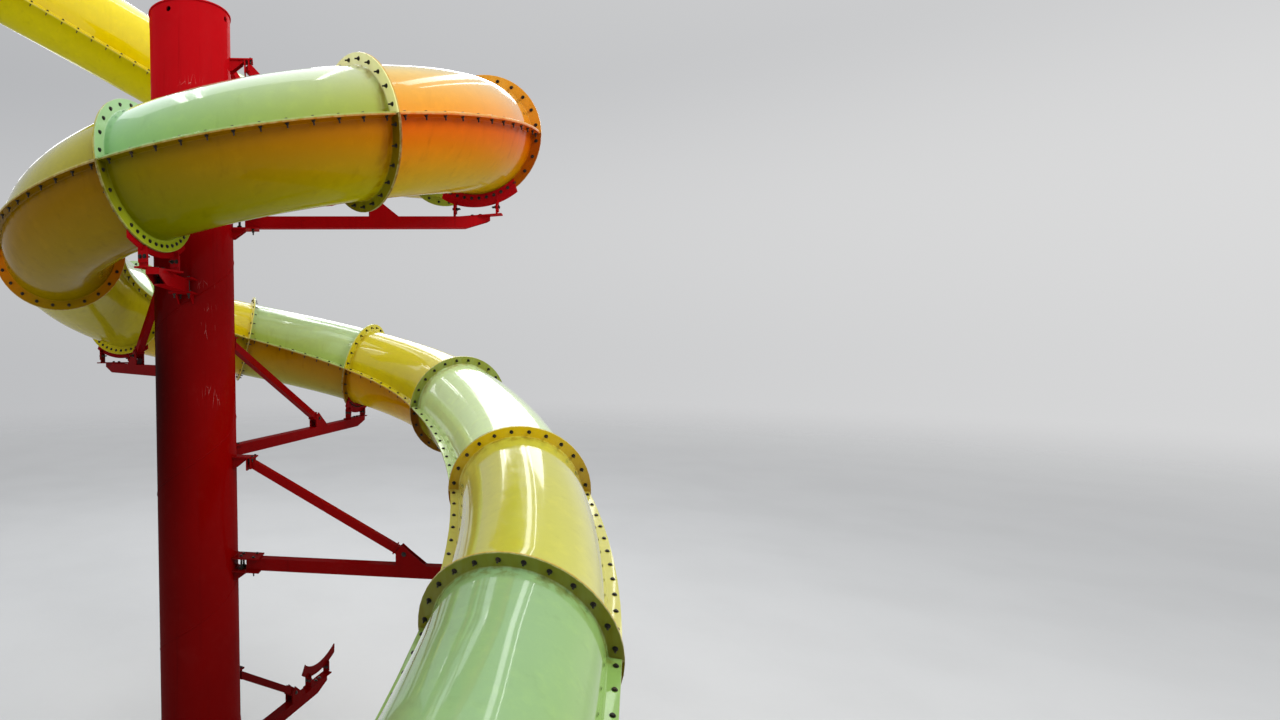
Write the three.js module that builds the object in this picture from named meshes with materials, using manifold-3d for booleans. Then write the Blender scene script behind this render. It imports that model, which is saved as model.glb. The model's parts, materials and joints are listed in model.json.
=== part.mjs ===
// Water slide tower: an enclosed tube slide coiled round a round steel column.
// Millimetres, +Z up. The origin is on the ground at the column's centre.
import * as THREE from "three";
import { mergeVertices } from "three/addons/utils/BufferGeometryUtils.js";
import Module from "manifold-3d";

const wasm = await Module();
wasm.setup();

// Column
const COLUMN_R = 406.5;
const COLUMN_WALL = 16;
const COLUMN_TOP = 8985;
const CAP_R = 416;
const CAP_THICK = 16;
const LIFT_HOLE_R = 26;
const LIFT_HOLE_DROP = 75;
const LIFT_HOLE_HEADINGS = [250, 340];
const BASE_R = 680;
const BASE_THICK = 40;
const GUSSET_COUNT = 8;
const GUSSET_HEIGHT = 320;
const GUSSET_REACH = 200;
const GUSSET_THICK = 20;
const ANCHOR_R = 18;
const ANCHOR_CIRCLE_R = 590;
const ANCHOR_COUNT = 8;

// Tube
const SHELL_OUTER_R = 547;
const SHELL_INNER_R = 535;
const FLANGE_R = 645;
const SEAM_R = 637;
const FLANGE_THICK = 12;
const BOLT_CIRCLE_R = 597;
const RING_BOLTS = 24;
const BOLT_HOLE_R = 9;
const OUTER_SPANS = 8;
const INNER_SPANS = 6;
const TURN_PER_SPAN = 12.5;
const GAP = 0.3;

// The slide's upper open flange: its centre, travel heading and slope
const START = [-2856, 1823, 10471];
const START_HEADING = 34.5;
const START_SLOPE = 19;

// Segments from the top down: length, turn in plan, slope at the lower flange,
// colour and the turn of the seams about the tube's own axis
const SEGMENTS = [
  { name: "s01", length: 3000, turn: -1, slope: 21, colour: "yellow", roll: 37.5 },
  { name: "s02", length: 2400, turn: -56, slope: 19, colour: "green", roll: 0 },
  { name: "s03", length: 2110, turn: -47.5, slope: 10, colour: "yellow", roll: 0 },
  { name: "s04", length: 2120, turn: -42, slope: 9.5, colour: "green", roll: 0 },
  { name: "s05", length: 2020, turn: -41.5, slope: 10.5, colour: "yellow", roll: 0 },
  { name: "s06", length: 1850, turn: -48.5, slope: 11, colour: "green", roll: 0 },
  { name: "s07", length: 1990, turn: -51.5, slope: 13, colour: "yellow", roll: 0 },
  { name: "s08", length: 2200, turn: -36.5, slope: 12.5, colour: "green", roll: 0 },
  { name: "s09", length: 2040, turn: -58.5, slope: 12.5, colour: "yellow", roll: 0 },
  { name: "s10", length: 1910, turn: -42, slope: 14, colour: "green", roll: 0 },
  { name: "s11", length: 1940, turn: -46, slope: 13, colour: "yellow", roll: 0 },
  { name: "s12", length: 2430, turn: -21.5, slope: 14.5, colour: "green", roll: 0 },
  { name: "s13", length: 2170, turn: -16, slope: 14, colour: "yellow", roll: 0 },
  { name: "s14", length: 2160, turn: -8, slope: 14.5, colour: "green", roll: 0 },
];
// Half shells made as two bodies that meet in a joint near their middle
const TWO_PART_HALVES = ["s09_lower", "s10_upper"];

// Brackets: the ring each one carries, counted from the upper open flange, the
// height of its brace's head above the beam, where on the beam its foot stands, how
// far the saddle is shifted to the tube's left, its height and the beam's overhang
const BRACKETS = [
  { name: "b1", ring: 2, rise: 1000, foot: 0.62, side: 0, clear: 150, overhang: 150 },
  { name: "b2", ring: 4, rise: 1550, foot: 0.59, side: -35, clear: 150, overhang: 135 },
  { name: "b3", ring: 6, rise: 0, foot: 0, side: 0, clear: 150, overhang: 240 },
  { name: "b4", ring: 8, rise: 1250, foot: 0.62, side: 90, clear: 115, overhang: 270 },
  { name: "b5", ring: 10, rise: 1130, foot: 0.64, side: -60, clear: 120, overhang: 195 },
  { name: "b6", ring: 12, rise: 970, foot: 0.62, side: 0, clear: 150, overhang: 150 },
];
// The lowest bracket stands free of the tube
const LOW_BRACKET = { name: "b7", heading: 58.7, reach: 2270, top: 1166 };
const LOW_RISE = 800;
const LOW_FOOT = 0.69;
const LOW_OVERHANG = 150;
const LOW_SLOPE = 12;
const BEAM_WIDTH = 110;
const BEAM_HEIGHT = 120;
const BEAM_START = 125;
const BEAM_CHAMFER = 60;
const LUG_LENGTH = 270;
const LUG_WIDTH = 220;
const LUG_THICK = 14;
const LUG_WEB = 24;
const SADDLE_TOP_ARC = 40;
const SADDLE_LOW_ARC = 35;
const SADDLE_TOP_R = 560;
const SADDLE_LOW_R = 692;
const SADDLE_THICK = 16;
const UPRIGHT_OFFSET = 222;
const UPRIGHT_WIDTH = 40;
const UPRIGHT_DEPTH = 84;
const HEAD_CLEAR = 24;
const SADDLE_BASE_THICK = 14;
const SADDLE_BASE_REACH = 270;
const BRACE_SIZE = 80;
const BRACE_HEAD_REACH = 170;
const FORK_THICK = 14;

const COLOURS = {
  green: { color: 0xa9cf86, roughness: 0.22, metalness: 0.0 },
  yellow: { color: 0xd9cf18, roughness: 0.22, metalness: 0.0 },
  red: { color: 0xa3121c, roughness: 0.35, metalness: 0.1 },
};

const rad = THREE.MathUtils.degToRad;

function toSolid(geometry) {
  const plain = geometry.clone();
  plain.deleteAttribute("normal");
  plain.deleteAttribute("uv");
  const merged = mergeVertices(plain, 0.001);
  const mesh = new wasm.Mesh({
    numProp: 3,
    vertProperties: new Float32Array(merged.attributes.position.array),
    triVerts: new Uint32Array(merged.index.array),
  });
  return new wasm.Manifold(mesh);
}

function toGeometry(solid) {
  const mesh = solid.getMesh();
  const geometry = new THREE.BufferGeometry();
  const count = mesh.vertProperties.length / mesh.numProp;
  const position = new Float32Array(count * 3);
  for (let i = 0; i < count; i += 1) {
    position[i * 3] = mesh.vertProperties[i * mesh.numProp];
    position[i * 3 + 1] = mesh.vertProperties[i * mesh.numProp + 1];
    position[i * 3 + 2] = mesh.vertProperties[i * mesh.numProp + 2];
  }
  geometry.setAttribute("position", new THREE.BufferAttribute(position, 3));
  geometry.setIndex(new THREE.BufferAttribute(new Uint32Array(mesh.triVerts), 1));
  geometry.computeVertexNormals();
  return geometry;
}

function addTo(group, name, solid, colour) {
  const material = new THREE.MeshStandardMaterial(COLOURS[colour]);
  material.flatShading = true;
  const mesh = new THREE.Mesh(toGeometry(solid), material);
  mesh.name = name;
  group.add(mesh);
}

// The tube's path: a station has a point, travel direction, left and up
function station(point, heading, slope) {
  const h = rad(heading);
  const s = rad(slope);
  const along = new THREE.Vector3(
    Math.cos(h) * Math.cos(s), Math.sin(h) * Math.cos(s), -Math.sin(s));
  const left = new THREE.Vector3(-Math.sin(h), Math.cos(h), 0);
  const up = new THREE.Vector3().crossVectors(along, left);
  return { point: point.clone(), heading, slope, along, left, up };
}

function walkSegment(start, segment) {
  const spans = Math.max(1, Math.ceil(Math.abs(segment.turn) / TURN_PER_SPAN));
  const fine = 12;
  const steps = spans * fine;
  const point = start.point.clone();
  const stations = [start];
  for (let i = 0; i < steps; i += 1) {
    const middle = (i + 0.5) / steps;
    const heading = start.heading + segment.turn * middle;
    const slope = start.slope + (segment.slope - start.slope) * middle;
    const way = station(point, heading, slope).along;
    point.addScaledVector(way, segment.length / steps);
    if ((i + 1) % fine === 0) {
      const done = (i + 1) / steps;
      stations.push(station(
        point, start.heading + segment.turn * done,
        start.slope + (segment.slope - start.slope) * done));
    }
  }
  return stations;
}

function walkSlide() {
  const first = station(new THREE.Vector3(...START), START_HEADING, START_SLOPE);
  const rings = [first];
  const runs = [];
  for (const segment of SEGMENTS) {
    const stations = walkSegment(rings[rings.length - 1], segment);
    runs.push(stations);
    rings.push(stations[stations.length - 1]);
  }
  return { rings, runs };
}

function rolled(place, roll) {
  const c = Math.cos(rad(roll));
  const s = Math.sin(rad(roll));
  const left = place.left.clone().multiplyScalar(c).addScaledVector(place.up, s);
  const up = place.up.clone().multiplyScalar(c).addScaledVector(place.left, -s);
  return { ...place, left, up };
}

function shifted(place, distance) {
  return { ...place, point: place.point.clone().addScaledVector(place.along, distance) };
}

// One closed body through sections: each has a place and a profile in (left, up).
// Two sections at one place make a step, and points that they share are one vertex.
function loft(sections) {
  const n = sections[0].profile.length;
  const position = [];
  const index = [];
  const rows = sections.map(({ place, profile }) => profile.map(([u, v]) => {
    const at = place.point.clone();
    at.addScaledVector(place.left, u).addScaledVector(place.up, v);
    return at;
  }));
  const ids = [];
  rows.forEach((row, k) => {
    ids.push(row.map((at, i) => {
      if (k > 0 && at.distanceTo(rows[k - 1][i]) < 0.001) {
        return ids[k - 1][i];
      }
      position.push(at.x, at.y, at.z);
      return position.length / 3 - 1;
    }));
  });
  const addFace = (p, q, r) => {
    if (p !== q && q !== r && r !== p) {
      index.push(p, q, r);
    }
  };
  for (let k = 0; k + 1 < rows.length; k += 1) {
    for (let i = 0; i < n; i += 1) {
      const j = (i + 1) % n;
      addFace(ids[k][i], ids[k][j], ids[k + 1][j]);
      addFace(ids[k][i], ids[k + 1][j], ids[k + 1][i]);
    }
  }
  const last = rows.length - 1;
  for (const [end, turn] of [[0, 1], [last, 0]]) {
    const contour = sections[end].profile.map(([u, v]) => new THREE.Vector2(u, v));
    for (const [p, q, r] of THREE.ShapeUtils.triangulateShape(contour, [])) {
      addFace(ids[end][p], ids[end][turn ? r : q], ids[end][turn ? q : r]);
    }
  }
  const geometry = new THREE.BufferGeometry();
  geometry.setAttribute("position", new THREE.Float32BufferAttribute(position, 3));
  geometry.setIndex(index);
  return toSolid(geometry);
}

function arcPoints(radius, from, to, spans, side) {
  const points = [];
  for (let i = 0; i <= spans; i += 1) {
    const angle = rad(from + ((to - from) * i) / spans);
    points.push([radius * Math.cos(angle), side * radius * Math.sin(angle)]);
  }
  return points;
}

// Profiles run counter-clockwise seen against the travel. The one for the shell
// has two seam flanges, the one for the rings is a half annulus, and their points
// match one to one. side is 1 above the seam and -1 below it.
function halfProfile(side, outerRadius, seamRadius) {
  const wide = 0.5 * GAP;
  const facet = 0.5 * (1 + 1 / Math.cos(rad(90 / OUTER_SPANS)));
  const outerR = outerRadius * facet;
  const lift = THREE.MathUtils.radToDeg(Math.asin((FLANGE_THICK + wide) / outerR));
  const outer = arcPoints(outerR, lift, 180 - lift, OUTER_SPANS, side);
  const inner = arcPoints(SHELL_INNER_R, 180, 0, INNER_SPANS, side);
  inner[0] = [-SHELL_INNER_R, side * wide];
  inner[inner.length - 1] = [SHELL_INNER_R, side * wide];
  const rise = seamRadius > outerRadius ? FLANGE_THICK + wide : 0.5 * FLANGE_THICK;
  const reach = seamRadius > outerRadius ? seamRadius : outerR;
  const profile = [
    [reach, side * wide],
    [reach, side * rise],
    ...outer,
    [-reach, side * rise],
    [-reach, side * wide],
    ...inner,
  ];
  return side > 0 ? profile : profile.reverse();
}

function ringBoltHoles(place, side) {
  let holes = null;
  for (let i = 0; i < RING_BOLTS; i += 1) {
    const angle = rad((360 / RING_BOLTS) * (i + 0.5));
    const v = BOLT_CIRCLE_R * Math.sin(angle);
    if (v * side > 0) {
      const u = BOLT_CIRCLE_R * Math.cos(angle);
      const drill = new THREE.CylinderGeometry(BOLT_HOLE_R, BOLT_HOLE_R, 80, 10);
      drill.rotateX(Math.PI / 2);
      const basis = new THREE.Matrix4().makeBasis(place.left, place.up, place.along);
      const at = place.point.clone();
      at.addScaledVector(place.left, u).addScaledVector(place.up, v);
      basis.setPosition(at);
      drill.applyMatrix4(basis);
      const hole = toSolid(drill);
      holes = holes ? holes.add(hole) : hole;
    }
  }
  return holes;
}

// The sections of a half shell: its upper flange, its middle and its lower flange
function halfSections(stations, roll, side) {
  const places = stations.map((place) => rolled(place, roll));
  const first = shifted(places[0], 0.5 * GAP);
  const last = shifted(places[places.length - 1], -0.5 * GAP);
  const shell = halfProfile(side, SHELL_OUTER_R, SEAM_R);
  const ring = halfProfile(side, FLANGE_R, FLANGE_R);
  const inFirst = shifted(first, FLANGE_THICK);
  const inLast = shifted(last, -FLANGE_THICK);
  const start = [
    { place: first, profile: ring },
    { place: inFirst, profile: ring },
    { place: inFirst, profile: shell },
  ];
  const middle = places.slice(1, -1).map((place) => ({ place, profile: shell }));
  const end = [
    { place: inLast, profile: shell },
    { place: inLast, profile: ring },
    { place: last, profile: ring },
  ];
  return { start, middle, end, first, last };
}

function halfSegment(sections, side, openStart, openEnd) {
  const { start, middle, end, first, last } = sections;
  let solid = loft([...start, ...middle, ...end]);
  if (openStart) {
    solid = solid.subtract(ringBoltHoles(first, side));
  }
  if (openEnd) {
    solid = solid.subtract(ringBoltHoles(last, side));
  }
  return solid;
}

function twoPartHalf({ start, middle, end }) {
  const cut = Math.floor(middle.length / 2);
  const { place, profile } = middle[cut];
  return [
    loft([
      ...start, ...middle.slice(0, cut),
      { place: shifted(place, -0.5 * GAP), profile },
    ]),
    loft([
      { place: shifted(place, 0.5 * GAP), profile },
      ...middle.slice(cut + 1), ...end,
    ]),
  ];
}

function buildSlide(group, slide) {
  SEGMENTS.forEach((segment, i) => {
    const openStart = i === 0;
    const openEnd = i === SEGMENTS.length - 1;
    for (const [half, side] of [["upper", 1], ["lower", -1]]) {
      const sections = halfSections(slide.runs[i], segment.roll, side);
      const name = `${segment.name}_${half}`;
      if (TWO_PART_HALVES.includes(name)) {
        const [above, below] = twoPartHalf(sections);
        addTo(group, `tube_${name}_a`, above, segment.colour);
        addTo(group, `tube_${name}_b`, below, segment.colour);
      } else {
        const solid = halfSegment(sections, side, openStart, openEnd);
        addTo(group, `tube_${name}`, solid, segment.colour);
      }
    }
  });
}

function cylinder(radius, z0, z1, sides) {
  const geometry = new THREE.CylinderGeometry(radius, radius, z1 - z0, sides);
  geometry.rotateX(Math.PI / 2);
  geometry.translate(0, 0, 0.5 * (z0 + z1));
  return toSolid(geometry);
}

function box(x0, x1, y0, y1, z0, z1) {
  const geometry = new THREE.BoxGeometry(x1 - x0, y1 - y0, z1 - z0);
  geometry.translate(0.5 * (x0 + x1), 0.5 * (y0 + y1), 0.5 * (z0 + z1));
  return toSolid(geometry);
}

function prism(points, y0, y1) {
  const shape = new THREE.Shape(points.map(([x, z]) => new THREE.Vector2(x, z)));
  const geometry = new THREE.ExtrudeGeometry(shape, { depth: y1 - y0, bevelEnabled: false });
  geometry.rotateX(Math.PI / 2);
  geometry.translate(0, y1, 0);
  return toSolid(geometry);
}

function turned(solid, heading) {
  return solid.rotate([0, 0, heading]);
}

function buildColumn(group) {
  let pipe = cylinder(COLUMN_R, BASE_THICK + GAP, COLUMN_TOP, 32);
  pipe = pipe.subtract(cylinder(COLUMN_R - COLUMN_WALL, 0, COLUMN_TOP + 100, 32));
  for (const heading of LIFT_HOLE_HEADINGS) {
    const drill = new THREE.CylinderGeometry(LIFT_HOLE_R, LIFT_HOLE_R, 120, 12);
    drill.rotateZ(Math.PI / 2);
    drill.translate(COLUMN_R, 0, COLUMN_TOP - LIFT_HOLE_DROP);
    pipe = pipe.subtract(turned(toSolid(drill), heading));
  }
  addTo(group, "column_pipe", pipe, "red");
  const cap = cylinder(CAP_R, COLUMN_TOP + GAP, COLUMN_TOP + GAP + CAP_THICK, 32);
  addTo(group, "column_cap", cap, "red");
  let base = cylinder(BASE_R, 0, BASE_THICK, 32);
  for (let i = 0; i < ANCHOR_COUNT; i += 1) {
    const angle = rad((360 / ANCHOR_COUNT) * (i + 0.5));
    const drill = new THREE.CylinderGeometry(ANCHOR_R, ANCHOR_R, 100, 12);
    drill.rotateX(Math.PI / 2);
    drill.translate(ANCHOR_CIRCLE_R * Math.cos(angle), ANCHOR_CIRCLE_R * Math.sin(angle), 20);
    base = base.subtract(toSolid(drill));
  }
  for (let i = 0; i < GUSSET_COUNT; i += 1) {
    const near = COLUMN_R + GAP;
    const gusset = prism([
      [near, BASE_THICK - 5], [near + GUSSET_REACH, BASE_THICK - 5],
      [near + GUSSET_REACH, BASE_THICK + 30], [near + 40, GUSSET_HEIGHT],
      [near, GUSSET_HEIGHT],
    ], -GUSSET_THICK / 2, GUSSET_THICK / 2);
    base = base.add(turned(gusset, (360 / GUSSET_COUNT) * i));
  }
  addTo(group, "column_base", base, "red");
}

// A bracket is drawn along +X from the column's axis and turned to its heading
function beamSolid(reach, top, overhang) {
  const near = COLUMN_R + BEAM_START;
  const end = reach + overhang;
  const low = top - BEAM_HEIGHT;
  const half = BEAM_WIDTH / 2;
  const beam = prism([
    [near, low], [end - 2 * BEAM_CHAMFER, low], [end, low + BEAM_CHAMFER],
    [end, top], [near, top],
  ], -half, half);
  const back = COLUMN_R - 60;
  const front = COLUMN_R + LUG_LENGTH;
  const side = LUG_WIDTH / 2;
  const upper = box(back, front, -side, side, top - 1, top + LUG_THICK);
  const lower = box(back, front, -side, side, low - LUG_THICK, low + 1);
  const web = box(back, near + 20, -LUG_WEB / 2, LUG_WEB / 2, low - 1, top + 1);
  return beam.add(upper).add(lower).add(web);
}

function braceSolid(reach, top, rise, foot) {
  const footX = COLUMN_R + (reach - COLUMN_R) * foot;
  const footZ = top + 100;
  const headX = COLUMN_R + BRACE_HEAD_REACH;
  const headZ = top + rise;
  const run = footX - headX;
  const fall = headZ - footZ;
  const bar = new THREE.BoxGeometry(Math.hypot(run, fall), BRACE_SIZE, BRACE_SIZE);
  bar.rotateY(Math.atan2(fall, run));
  bar.translate(0.5 * (footX + headX), 0, 0.5 * (footZ + headZ));
  const half = FORK_THICK / 2;
  const floor = top + GAP;
  const footPlate = prism([
    [footX - 90, floor], [footX + 210, floor], [footX + 60, top + 120],
    [footX - 20, top + 190], [footX - 90, top + 130],
  ], -half, half);
  const back = COLUMN_R - 60;
  const shelf = box(back, headX + 60, -75, 75, headZ + 50, headZ + 50 + FORK_THICK);
  const fork = prism([
    [headX - 60, headZ + 55], [headX + 50, headZ + 55], [headX + 50, headZ - 60],
    [headX - 20, headZ - 60],
  ], -half, half);
  const web = prism([
    [back, headZ + 55], [COLUMN_R + 130, headZ + 55], [back, headZ - 20],
  ], -half, half);
  return toSolid(bar).add(footPlate).add(fork).add(shelf).add(web);
}

// The point below a ring where its saddle stands
function supportPoint(place, side) {
  const point = place.point.clone();
  point.addScaledVector(place.up, -FLANGE_R);
  point.addScaledVector(place.along, FLANGE_THICK + SADDLE_THICK / 2);
  point.addScaledVector(place.left, side);
  return point;
}

function saddleSolid(place, foot, top) {
  const near = shifted(place, FLANGE_THICK + GAP / 2 + GAP);
  const far = shifted(near, SADDLE_THICK);
  const inner = arcPoints(SADDLE_TOP_R, SADDLE_TOP_ARC - 90, -90 - SADDLE_TOP_ARC, 6, 1);
  const outer = arcPoints(SADDLE_LOW_R, -90 - SADDLE_LOW_ARC, SADDLE_LOW_ARC - 90, 6, 1);
  const crescent = [...outer, ...inner];
  let solid = loft([{ place: near, profile: crescent }, { place: far, profile: crescent }]);
  const turn = place.heading + 90;
  const base = top + GAP;
  const parts = [box(
    -SADDLE_BASE_REACH, SADDLE_BASE_REACH, -BEAM_WIDTH / 2, BEAM_WIDTH / 2,
    base, base + SADDLE_BASE_THICK)];
  const tilt = Math.cos(rad(place.slope));
  const shift = foot.clone().sub(supportPoint(place, 0)).dot(place.left);
  for (const side of [-1, 1]) {
    const middle = side * UPRIGHT_OFFSET;
    const across = Math.abs(middle + shift) + UPRIGHT_WIDTH / 2;
    const head = place.point.z - Math.sqrt((FLANGE_R + HEAD_CLEAR) ** 2 - across ** 2) * tilt;
    parts.push(box(
      middle - UPRIGHT_WIDTH / 2, middle + UPRIGHT_WIDTH / 2,
      -UPRIGHT_DEPTH / 2, UPRIGHT_DEPTH / 2, base, head));
  }
  for (const part of parts) {
    solid = solid.add(part.rotate([0, 0, turn]).translate([foot.x, foot.y, 0]));
  }
  return solid;
}

function addBracket(group, bracket, place, foot, top, clearance) {
  const reach = Math.hypot(foot.x, foot.y);
  const heading = THREE.MathUtils.radToDeg(Math.atan2(foot.y, foot.x));
  const beam = turned(beamSolid(reach, top, bracket.overhang), heading);
  addTo(group, `${bracket.name}_beam`, beam.subtract(clearance), "red");
  addTo(group, `${bracket.name}_saddle`, saddleSolid(place, foot, top), "red");
  if (bracket.rise > 0) {
    const brace = turned(braceSolid(reach, top, bracket.rise, bracket.foot), heading);
    addTo(group, `${bracket.name}_brace`, brace.subtract(clearance), "red");
  }
}

function buildBrackets(group, slide) {
  const clearance = cylinder(COLUMN_R + GAP, BASE_THICK, COLUMN_TOP, 32);
  for (const bracket of BRACKETS) {
    const place = slide.rings[bracket.ring];
    const foot = supportPoint(place, bracket.side);
    addBracket(group, bracket, place, foot, foot.z - bracket.clear, clearance);
  }
  const { heading, reach, top } = LOW_BRACKET;
  const across = station(new THREE.Vector3(), heading - 90, LOW_SLOPE);
  const foot = new THREE.Vector3(
    reach * Math.cos(rad(heading)), reach * Math.sin(rad(heading)), top + 150);
  const drop = supportPoint(across, 0);
  across.point.copy(foot).sub(drop);
  const low = {
    name: LOW_BRACKET.name, rise: LOW_RISE, foot: LOW_FOOT, overhang: LOW_OVERHANG };
  addBracket(group, low, across, foot, top, clearance);
}

function buildTower() {
  const tower = new THREE.Group();
  tower.name = "water_slide_tower";
  const slide = walkSlide();
  buildColumn(tower);
  buildSlide(tower, slide);
  buildBrackets(tower, slide);
  return tower;
}

export default buildTower();
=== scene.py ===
"""Water slide tower: an enclosed tube slide coiled round a round steel column.

Metres, +Z up. The origin is on the ground at the column's centre.
"""
import json
import math
import random
from collections import namedtuple
from copy import copy

import bmesh
import bpy
from bpy.props import FloatProperty, FloatVectorProperty, IntProperty, PointerProperty
from bpy.types import Operator, Panel, PropertyGroup
from mathutils import Matrix, Vector


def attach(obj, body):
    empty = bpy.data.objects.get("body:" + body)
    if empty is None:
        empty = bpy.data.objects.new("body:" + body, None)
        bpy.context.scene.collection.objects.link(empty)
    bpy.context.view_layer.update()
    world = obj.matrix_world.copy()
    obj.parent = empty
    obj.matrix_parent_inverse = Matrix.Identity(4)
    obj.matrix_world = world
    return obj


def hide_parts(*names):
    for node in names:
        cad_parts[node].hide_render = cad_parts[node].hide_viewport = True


bl_info = {
    "name": "Water slide tower",
    "version": (1, 0, 0),
    "blender": (4, 5, 0),
    "location": "View3D > Sidebar > Slide tower",
    "description": "Builds the tube slide, its column, brackets and bolts over the packed model",
    "category": "Object",
}

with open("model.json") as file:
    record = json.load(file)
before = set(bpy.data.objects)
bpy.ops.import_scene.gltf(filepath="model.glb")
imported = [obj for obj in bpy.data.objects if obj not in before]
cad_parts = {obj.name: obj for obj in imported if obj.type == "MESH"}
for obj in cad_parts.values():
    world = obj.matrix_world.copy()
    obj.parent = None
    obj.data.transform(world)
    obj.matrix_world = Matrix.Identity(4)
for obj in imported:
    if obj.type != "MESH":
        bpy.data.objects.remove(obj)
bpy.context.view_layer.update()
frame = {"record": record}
BODY = "root"

# Pieces that are bolted together lie this far apart
JOINT_GAP = 0.0003

# The slide's upper open flange: its centre, travel heading and slope
START = Vector((-2.856, 1.823, 10.471))
START_HEADING = 34.5
START_SLOPE = 19.0
# Bays s01 to s14 from the top down: length, turn in plan and slope at the lower
# flange. Odd bays are yellow and even ones green
BAYS = (
    (3.000, -1.0, 21.0), (2.400, -56.0, 19.0), (2.110, -47.5, 10.0), (2.120, -42.0, 9.5),
    (2.020, -41.5, 10.5), (1.850, -48.5, 11.0), (1.990, -51.5, 13.0), (2.200, -36.5, 12.5),
    (2.040, -58.5, 12.5), (1.910, -42.0, 14.0), (1.940, -46.0, 13.0), (2.430, -21.5, 14.5),
    (2.170, -16.0, 14.0), (2.160, -8.0, 14.5),
)
# The first bay's seams are turned about the tube's own axis
FIRST_SEAM_TURN = 37.5
# A bay is walked in this many fine steps for each such turn in plan
TURN_PER_SPAN = 12.5
FINE_STEPS = 12

# Brackets b1 to b6 carry the lower flange of every second bay: the height of the
# brace's head above the beam, where on the beam its foot stands, the saddle's shift to
# the tube's left, its foot's height above the beam and the beam's overhang
BRACKETS = (
    (1.000, 0.62, 0.000, 0.150, 0.150),
    (1.550, 0.59, -0.035, 0.150, 0.135),
    (0.000, 0.00, 0.000, 0.150, 0.240),
    (1.250, 0.62, 0.090, 0.115, 0.270),
    (1.130, 0.64, -0.060, 0.120, 0.195),
    (0.970, 0.62, 0.000, 0.150, 0.150),
)
# Bracket b7 stands free of the tube, at this heading and reach from the column
LOW_HEADING = 58.7
LOW_REACH = 2.270
LOW_TOP = 1.166
LOW_CLEAR = 0.150
LOW_RISE = 0.800
LOW_FOOT = 0.69
LOW_OVERHANG = 0.150
LOW_SLOPE = 12.0

# Tones of each half shell, at the seam and then at the crown. Where there are four,
# each pair runs from the upper flange to the lower one. The tones hold painted light:
# the lower halves are darker, olive, brown and orange, as painted shade and painted
# reflection of warm surroundings, and the pale crowns of upper halves are painted highlight
LIT_AND_SHADED_TONES = {
    "green_upper": "a8c878 b4d2a0",
    "green_lower": "7d7410 9aa032",
    "yellow_upper": "d2b814 e1d23c",
    "yellow_lower": "a87408 b49a14",
    "s01_upper": "e6cd00 efdc1e",
    "s01_lower": "d2c400 c8be00",
    "s05_upper": "e08c00 e69a00 dccc7d dcd07d",
    "s05_lower": "c44e00 d25a00 c8a80a c8ad14",
    "s06_upper": "a0a832 78b069 c8d2b4 a5cdb4",
    "s06_lower": "b46400 686200 b4aa0a 6a6e00",
    "s07_upper": "a0960a 96960a b4b428 b4aa28",
    "s07_lower": "785400 785c00 877000 877000",
    "s08_lower": "a89c10 a89c19",
    "s09_upper": "d2b814 f0dc0a e1d23c f5eb5a",
    "s09_lower": "967d0a be9b14",
    "s10_upper": "b4cd5a b9d778 cdebbe cdebbe",
    "s10_lower": "a57200 96963c",
    "s11_upper": "d7c814 e1d746",
    "s11_lower": "be8200 c8af14",
    "s12_upper": "cdeb9b d9f4b9",
    "s13_upper": "c8c564 bebe41",
    "s14_upper": "8fb563 88ad78",
}
# Tones of a half shell's ring flanges where they aren't the shell's own: painted light
# and shade on the flange faces, pale where lit and dark olive, ochre and brown where shaded
FLANGE_LIT_AND_SHADED_TONES = {
    "s01_upper": "d2b400",
    "s05_upper": "e89a10 c89632 e89a10 c89632",
    "s05_lower": "a04800 783c00 a04800 783c00",
    "s06_upper": "ffffaa 96b982 ffffbe a0c38c",
    "s06_lower": "5a4a00 5a5505 6e6e14 afbe2d",
    "s07_lower": "5a4600 d2700a 5a4600 8c6c0a",
    "s09_upper": "d2b814 fff078 e1d23c fff078",
    "s10_lower": "5a4600",
    "s11_lower": "6e4600",
    "s12_upper": "6e7814 7d8c1e 828c1e 7d8c1e",
    "s12_lower": "6e3c05 643c05 6e3c05 643c05",
    "s13_upper": "9a7602 b48c02 dcb902 be9602",
    "s13_lower": "784b02",
    "s14_upper": "695f05 5f6405 696e05 5f6405",
    "s14_lower": "5a5005",
}
WHITE = (1.0, 1.0, 1.0)
BLACK = (0.0, 0.0, 0.0)
# The direction of the column's sunlit side, away from which the red paint gets painted
# shade, and the direction that the studio's brightest part faces
SUN_SIDE = (0.97, -0.24, 0.0)
SKY_SIDE = Vector((0.45, -0.20, 0.87)).normalized()

# What properties of one kind have in common
LENGTH = {"min": 0.001, "unit": "LENGTH", "subtype": "DISTANCE"}
ANGLE = {"unit": "ROTATION", "subtype": "ANGLE"}
COLOUR = {"min": 0.0, "max": 1.0, "subtype": "COLOR"}


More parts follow.
